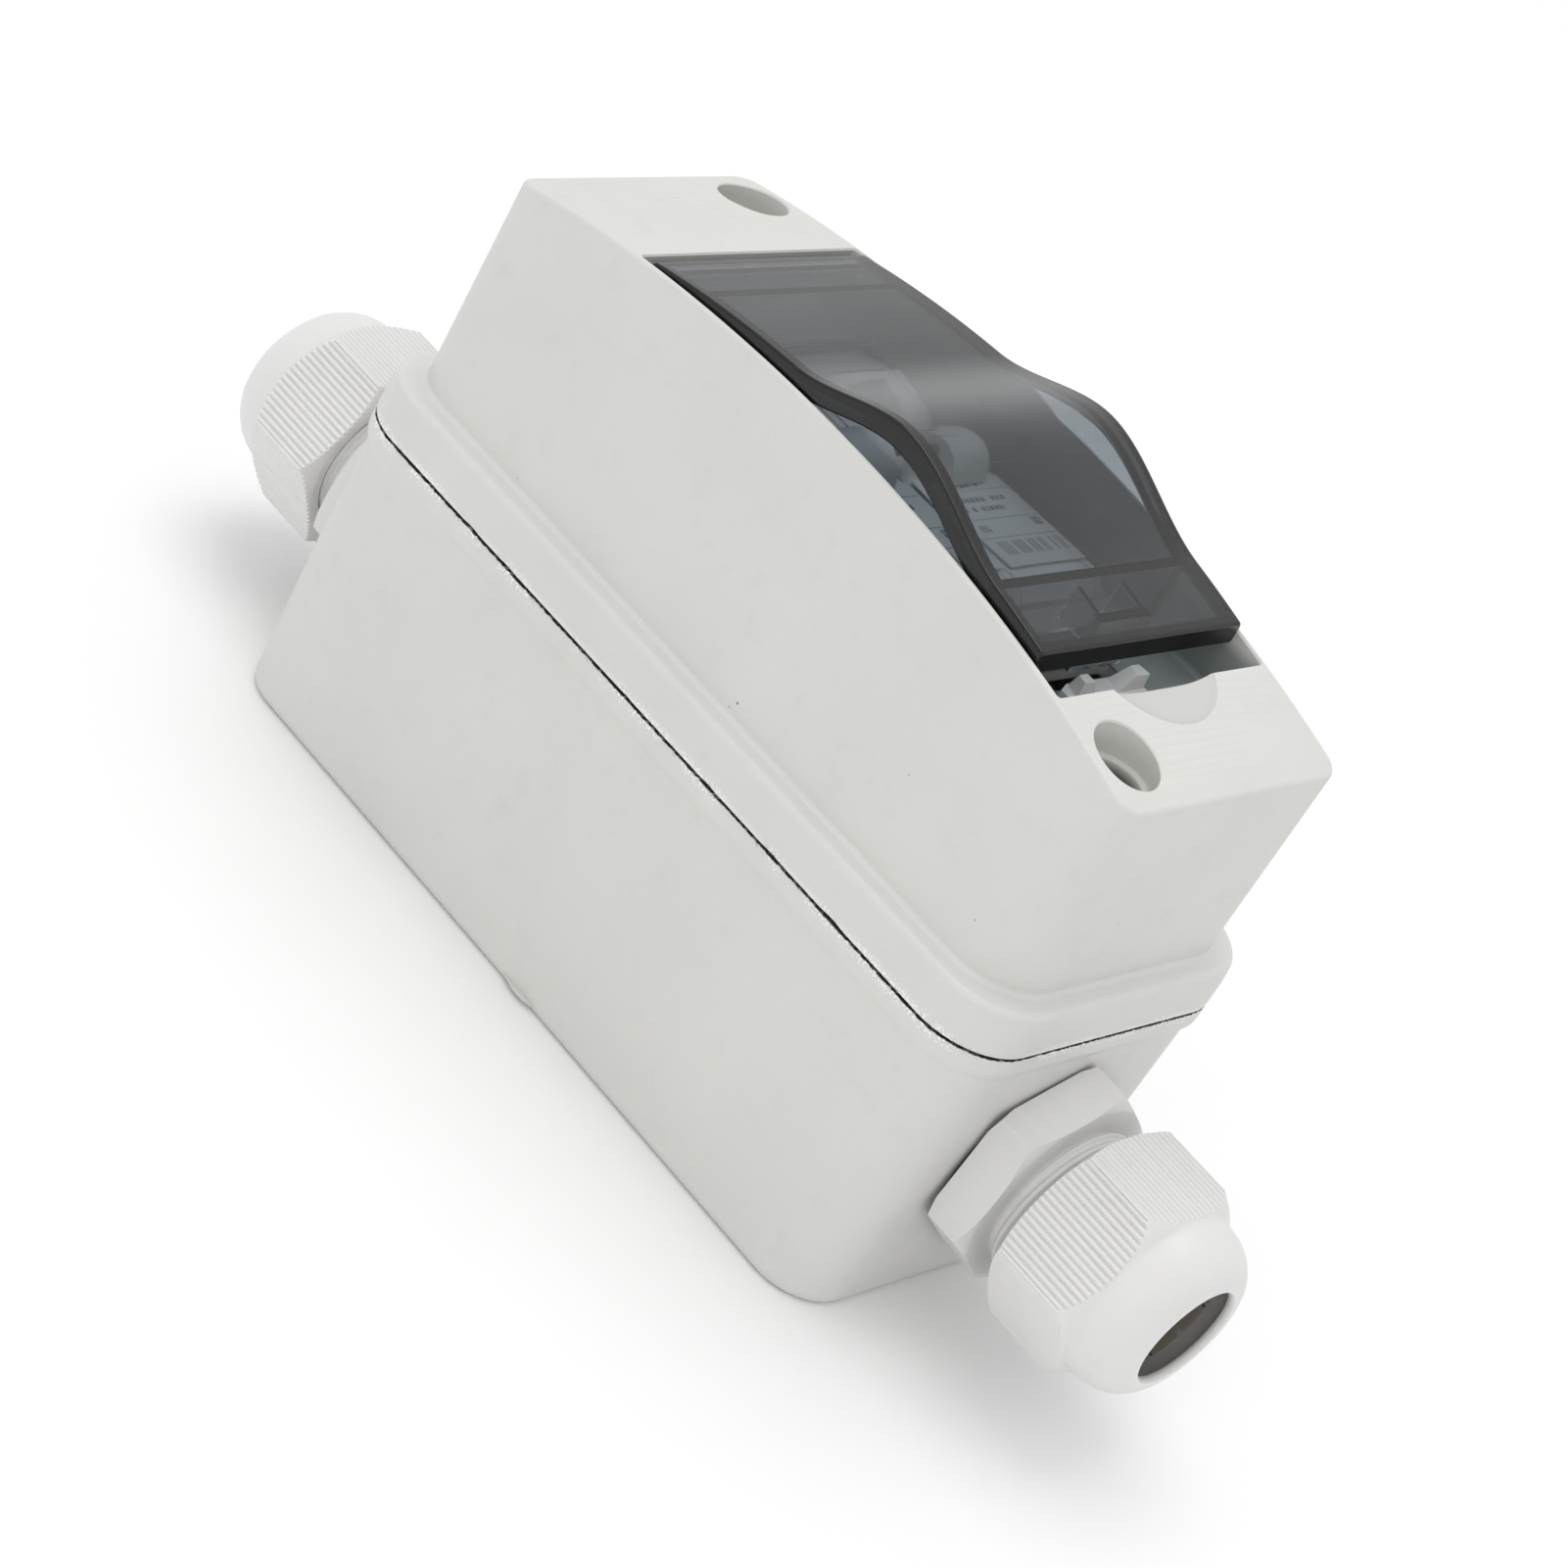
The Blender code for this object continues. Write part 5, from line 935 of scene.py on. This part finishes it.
# ---- glands
def hexagon(flats, turn, ribbed=()):
    """Outline of a hexagon; fine grooves run across the faces whose numbers are in ribbed."""
    apothem, half_face = flats / 2, flats / 2 * tan(pi / 6)
    points = []
    for face in range(6):
        angle = turn + pi / 3 * face + pi / 6
        normal = (cos(angle), sin(angle))
        tangent = (-normal[1], normal[0])
        steps = int(2 * half_face / RIB_PITCH) * RIB_STEPS
        for step in range(steps):
            reach = (2 * step / steps - 1) * half_face
            groove = 0.0
            if face in ribbed and abs(reach) < half_face - RIB_MARGIN:
                groove = RIB_DEPTH * (0.5 - 0.5 * cos(2 * pi * reach / RIB_PITCH)) ** RIB_POWER
            points.append(tuple(normal[k] * (apothem - groove) + tangent[k] * reach for k in (0, 1)))
    return points


def gland_point(sign, u, v, reach):
    """Place in the box of a point u across, v up and reach out from the end wall."""
    return u, sign * (END_WALL_Y + reach), GLAND_Z + v


def gland_circle(sign, reach, radius_at, steps=96):
    """Points around a gland's axis; radius_at gives the radius at a share of the turn."""
    points = []
    for step in range(steps):
        radius, turn = radius_at(step / steps), 2 * pi * step / steps
        points.append(gland_point(sign, radius * cos(turn), radius * sin(turn), reach))
    return points


def gland_prism(name, sign, outline, first, last):
    return skin(name, [[gland_point(sign, u, v, reach) for u, v in outline] for reach in (first, last)])


def gland_lathe(name, sign, profile, steps=120, caps="flat"):
    return lathe(name, profile, gland_point(sign, 0, 0, 0), (0, sign, 0), steps, caps)


def thread(sign, first, last, root, crest, pitch):
    """Rows of a screw thread that fades in at both ends."""
    rows = []
    count = int((last - first) / THREAD_ROW)
    for row in range(count + 1):
        reach = lerp(first, last, row / count)
        fade = ease((reach - first) / THREAD_START) * ease((last - reach) / THREAD_END)

        def radius_at(share):
            phase = (reach / pitch - sign * share) % 1.0
            tooth = ease(THREAD_FLANK * (0.5 - abs(phase - 0.5)) - THREAD_ROOT_SHARE)
            return root + (crest - root) * tooth * fade

        rows.append(gland_circle(sign, reach, radius_at))
    return rows


def plain_rows(sign, profile):
    return [gland_circle(sign, reach, lambda share: radius) for radius, reach in profile]


def build_gland_body(end, sign):
    """Threaded tube with a chamfered hexagon on it."""
    prism = gland_prism("hex", sign, hexagon(HEX_FLATS, HEX_TURN), HEX_BACK, HEX_FRONT)
    chamfer = [(15.3, 0.8), (16.2, 0.9), (17.4, 1.5), (17.4, 6.6), (16.4, 7.35), (15.4, 7.75), (14.9, 7.9),
               (14.6, 8.0)]
    boolean(prism, [gland_lathe("chamfer", sign, chamfer)], "INTERSECT")
    outer = thread(sign, *INNER_THREAD)
    outer += plain_rows(sign, [(11.7, 1.0), (11.7, 7.7), (12.9, 7.9)])
    outer += thread(sign, *OUTER_THREAD)
    outer += plain_rows(sign, [(11.6, 19.4), (9.5, 19.4), (9.2, 19.1), (9.2, -9.2), (9.4, -9.5)])
    tube = skin("gland_" + end, outer, caps="loop")
    boolean(tube, [prism], "UNION")
    smooth(tube, 38.0)
    place(tube, "gland_body_" + end, "gland_plastic")


def build_nut(end, sign):
    """Domed hexagon nut with ribs on all faces but one, hollow, with a rounded mouth."""
    smooth_face = 3 if sign < 0 else 0
    ribbed = [face for face in range(6) if face != smooth_face]
    outline = hexagon(NUT_FLATS, NUT_TURN, ribbed)
    prism = gland_prism("nut_" + end, sign, outline, NUT_BACK, NUT_TIP + OVERLAP)
    dome = [(12.9, 11.75), (14.0, 11.7), (15.0, 11.95), (16.5, 12.7), (17.4, 13.4), (17.4, 23.6),
            (16.6, 24.7), (15.6, 25.8), (14.6, 26.6), (14.2, 27.0), (14.15, 28.2), (13.95, 29.6),
            (13.5, 31.0), (12.8, 32.3), (11.9, 33.4), (10.9, 34.2), (9.9, 34.7), (9.0, NUT_TIP),
            (8.4, NUT_TIP)]
    boolean(prism, [gland_lathe("dome", sign, dome, 160)], "INTERSECT")
    hollow = [(12.75, 11.0), (12.75, 19.6), (12.6, 24.5), (12.3, 28.0), (11.6, 30.6), (10.4, 32.4),
              (9.0, 33.4), (8.3, 33.6), (8.1, 33.9), (8.1, 34.4), (8.35, 34.8), (8.9, 35.5)]
    boolean(prism, [gland_lathe("hollow", sign, hollow)])
    smooth(prism, 48.0)
    place(prism, "gland_nut_" + end, "gland_plastic", "nut_plastic")


def build_claw(end, sign):
    """Springy fingers on a ring, leaning in towards the cable."""
    section = [(11.6, 19.7), (11.5, 22.5), (10.6, 24.6), (9.5, 25.4), (9.45, 29.0), (9.1, 31.2), (8.5, 31.4),
               (8.35, 29.0), (8.5, 26.0), (9.7, 22.0), (9.8, 19.7)]
    count = len(section)
    points, faces = [], []
    for finger in range(FINGERS):
        start = len(points)
        for step in range(FINGER_STEPS + 1):
            share = finger + lerp(FINGER_GAP, 1 - FINGER_GAP, step / FINGER_STEPS)
            turn = 2 * pi * share / FINGERS
            across, up = cos(turn), sin(turn)
            points += [gland_point(sign, radius * across, radius * up, reach) for radius, reach in section]
        for step in range(FINGER_STEPS):
            first = start + step * count
            for row in range(count):
                here, after = first + row, first + (row + 1) % count
                faces.append((here, after, after + count, here + count))
        last = start + FINGER_STEPS * count
        faces += [tuple(range(start, start + count)), tuple(range(last, last + count))]
    claw = new_mesh("claw_" + end, points, faces)
    band = [(11.6, 19.6), (11.6, 20.8), (9.7, 20.8), (9.7, 19.6)]
    boolean(claw, [gland_lathe("claw_ring", sign, band, 80, "loop")], "UNION")
    smooth(claw)
    place(claw, "gland_claw_" + end, "gland_plastic", "claw_plastic")


def build_seal(end, sign):
    """Rubber sleeve with a ribbed bore."""
    outside = [(8.9, 11.4), (8.9, 16.0), (8.7, 16.6), (8.9, 17.2), (8.9, 21.0), (8.2, 24.0), (8.1, 28.6),
               (7.8, 29.0)]
    inside = [(SEAL_BORE + SEAL_RIB * (row % 2), SEAL_START - SEAL_PITCH * row) for row in range(SEAL_ROWS)]
    seal = gland_lathe("seal_" + end, sign, outside + inside, 96, "loop")
    smooth(seal, 50.0)
    place(seal, "gland_seal_" + end, "brown_rubber")


# ---- pieces kept from the frame: finish and width of the rounded edges
KEPT = {"seam_gasket": ("black_rubber", 0.12), "window_gasket": ("black_rubber", 0.15),
        "window_hinge_pin": ("bright_steel", 0.12), "din_rail": ("zinc_steel", 0.12),
        "contact_pin": ("bright_steel", 0.1), "lever_pin": ("bright_steel", 0.1),
        "lever_tie_bar": ("black_plastic", 0.2)}
KEPT_PER_SIDE = {"pole_case": ("breaker_plastic", 0.25), "pole_cover": ("breaker_plastic", 0.2),
                 "breaker_lever": ("lever_plastic", 0.55), "contact_arm": ("copper", 0.08),
                 "arc_chute": ("zinc_steel", 0.1), "trip_coil": ("copper", 0.1),
                 "rail_screw": ("bright_steel", 0.12), "din_clip": ("black_plastic", 0.2)}
KEPT_PER_FEED = {"terminal_clamp": ("zinc_steel", 0.15), "terminal_screw": ("bright_steel", 0.12)}
KEPT_PER_END = {"gland_gasket": ("black_rubber", 0.1), "gland_locknut": ("gland_plastic", 0.12),
                "gland_slip_ring": ("gland_plastic", 0.15), "lid_screw": ("bright_steel", 0.12),
                "screw_seal": ("black_rubber", 0.15)}
for side in SIDES:
    KEPT["pole_label_" + side] = ("pole_label_" + side, 0.06)
    KEPT.update({"_".join((kind, side)): looks for kind, looks in KEPT_PER_SIDE.items()})
    for feed in ("line", "load"):
        KEPT.update({"_".join((kind, side, feed)): looks for kind, looks in KEPT_PER_FEED.items()})
for end in ENDS:
    KEPT.update({"_".join((kind, end)): looks for kind, looks in KEPT_PER_END.items()})


def finish_kept():
    for node, (finish, width) in KEPT.items():
        piece = frame["nodes"][node]
        paint(piece, finish)
        soften(piece, width)


# ---- floor, light and camera
def build_stage():
    paper = moulded("floor_paper", (0.93, 0.93, 0.93), 0.6, grain=1.5, grain_depth=0.01, patch=0.004,
                    dirt=0.0, edge=0.0)
    floor = skin("floor", [ring(FLOOR_SIZE, level, (24, 1)) for level in FLOOR_LEVELS])
    floor.data.materials.append(paper.material)
    world = bpy.data.worlds.new("studio")
    world.use_nodes = True
    background = world.node_tree.nodes["Background"]
    background.inputs["Color"].default_value = (1.0, 1.0, 1.0, 1.0)
    background.inputs["Strength"].default_value = SURROUND_STRENGTH
    bpy.context.scene.world = world
    bpy.context.scene.view_settings.view_transform = "Standard"


def build_lights():
    for name, (spot, diameter, power) in LAMPS.items():
        lamp = bpy.data.lights.new(name, "AREA")
        lamp.shape = "DISK"
        lamp.size = diameter * MM
        lamp.energy = power
        light = linked(bpy.data.objects.new(name, lamp))
        light.location = Vector(spot) * MM
        light.rotation_euler = (Vector(LIT_PLACE) - Vector(spot)).to_track_quat("-Z", "Y").to_euler()


def build_camera():
    heading, tilt, roll = [radians(angle) for angle in (CAMERA_HEADING, CAMERA_TILT, CAMERA_ROLL)]
    forward = Vector((sin(heading) * cos(tilt), cos(heading) * cos(tilt),
                      -sin(tilt)))
    camera_data = bpy.data.cameras.new("camera")
    camera_data.lens = CAMERA_LENS
    camera_data.sensor_width = CAMERA_SENSOR
    camera_data.clip_end = CAMERA_REACH * MM
    camera = linked(bpy.data.objects.new("camera", camera_data))
    turn = forward.to_track_quat("-Z", "Y").to_matrix() @ Matrix.Rotation(roll, 3, "Z")
    position = (Vector(CAMERA_TARGET) - forward * CAMERA_DISTANCE) * MM
    camera.matrix_world = Matrix.Translation(position) @ turn.to_4x4()
    bpy.context.scene.camera = camera


build_base()
build_lid()
build_window()
build_catch()
for end, sign in ENDS.items():
    build_gland_body(end, sign)
    build_nut(end, sign)
    build_claw(end, sign)
    build_seal(end, sign)
finish_kept()
build_stage()
build_lights()
build_camera()
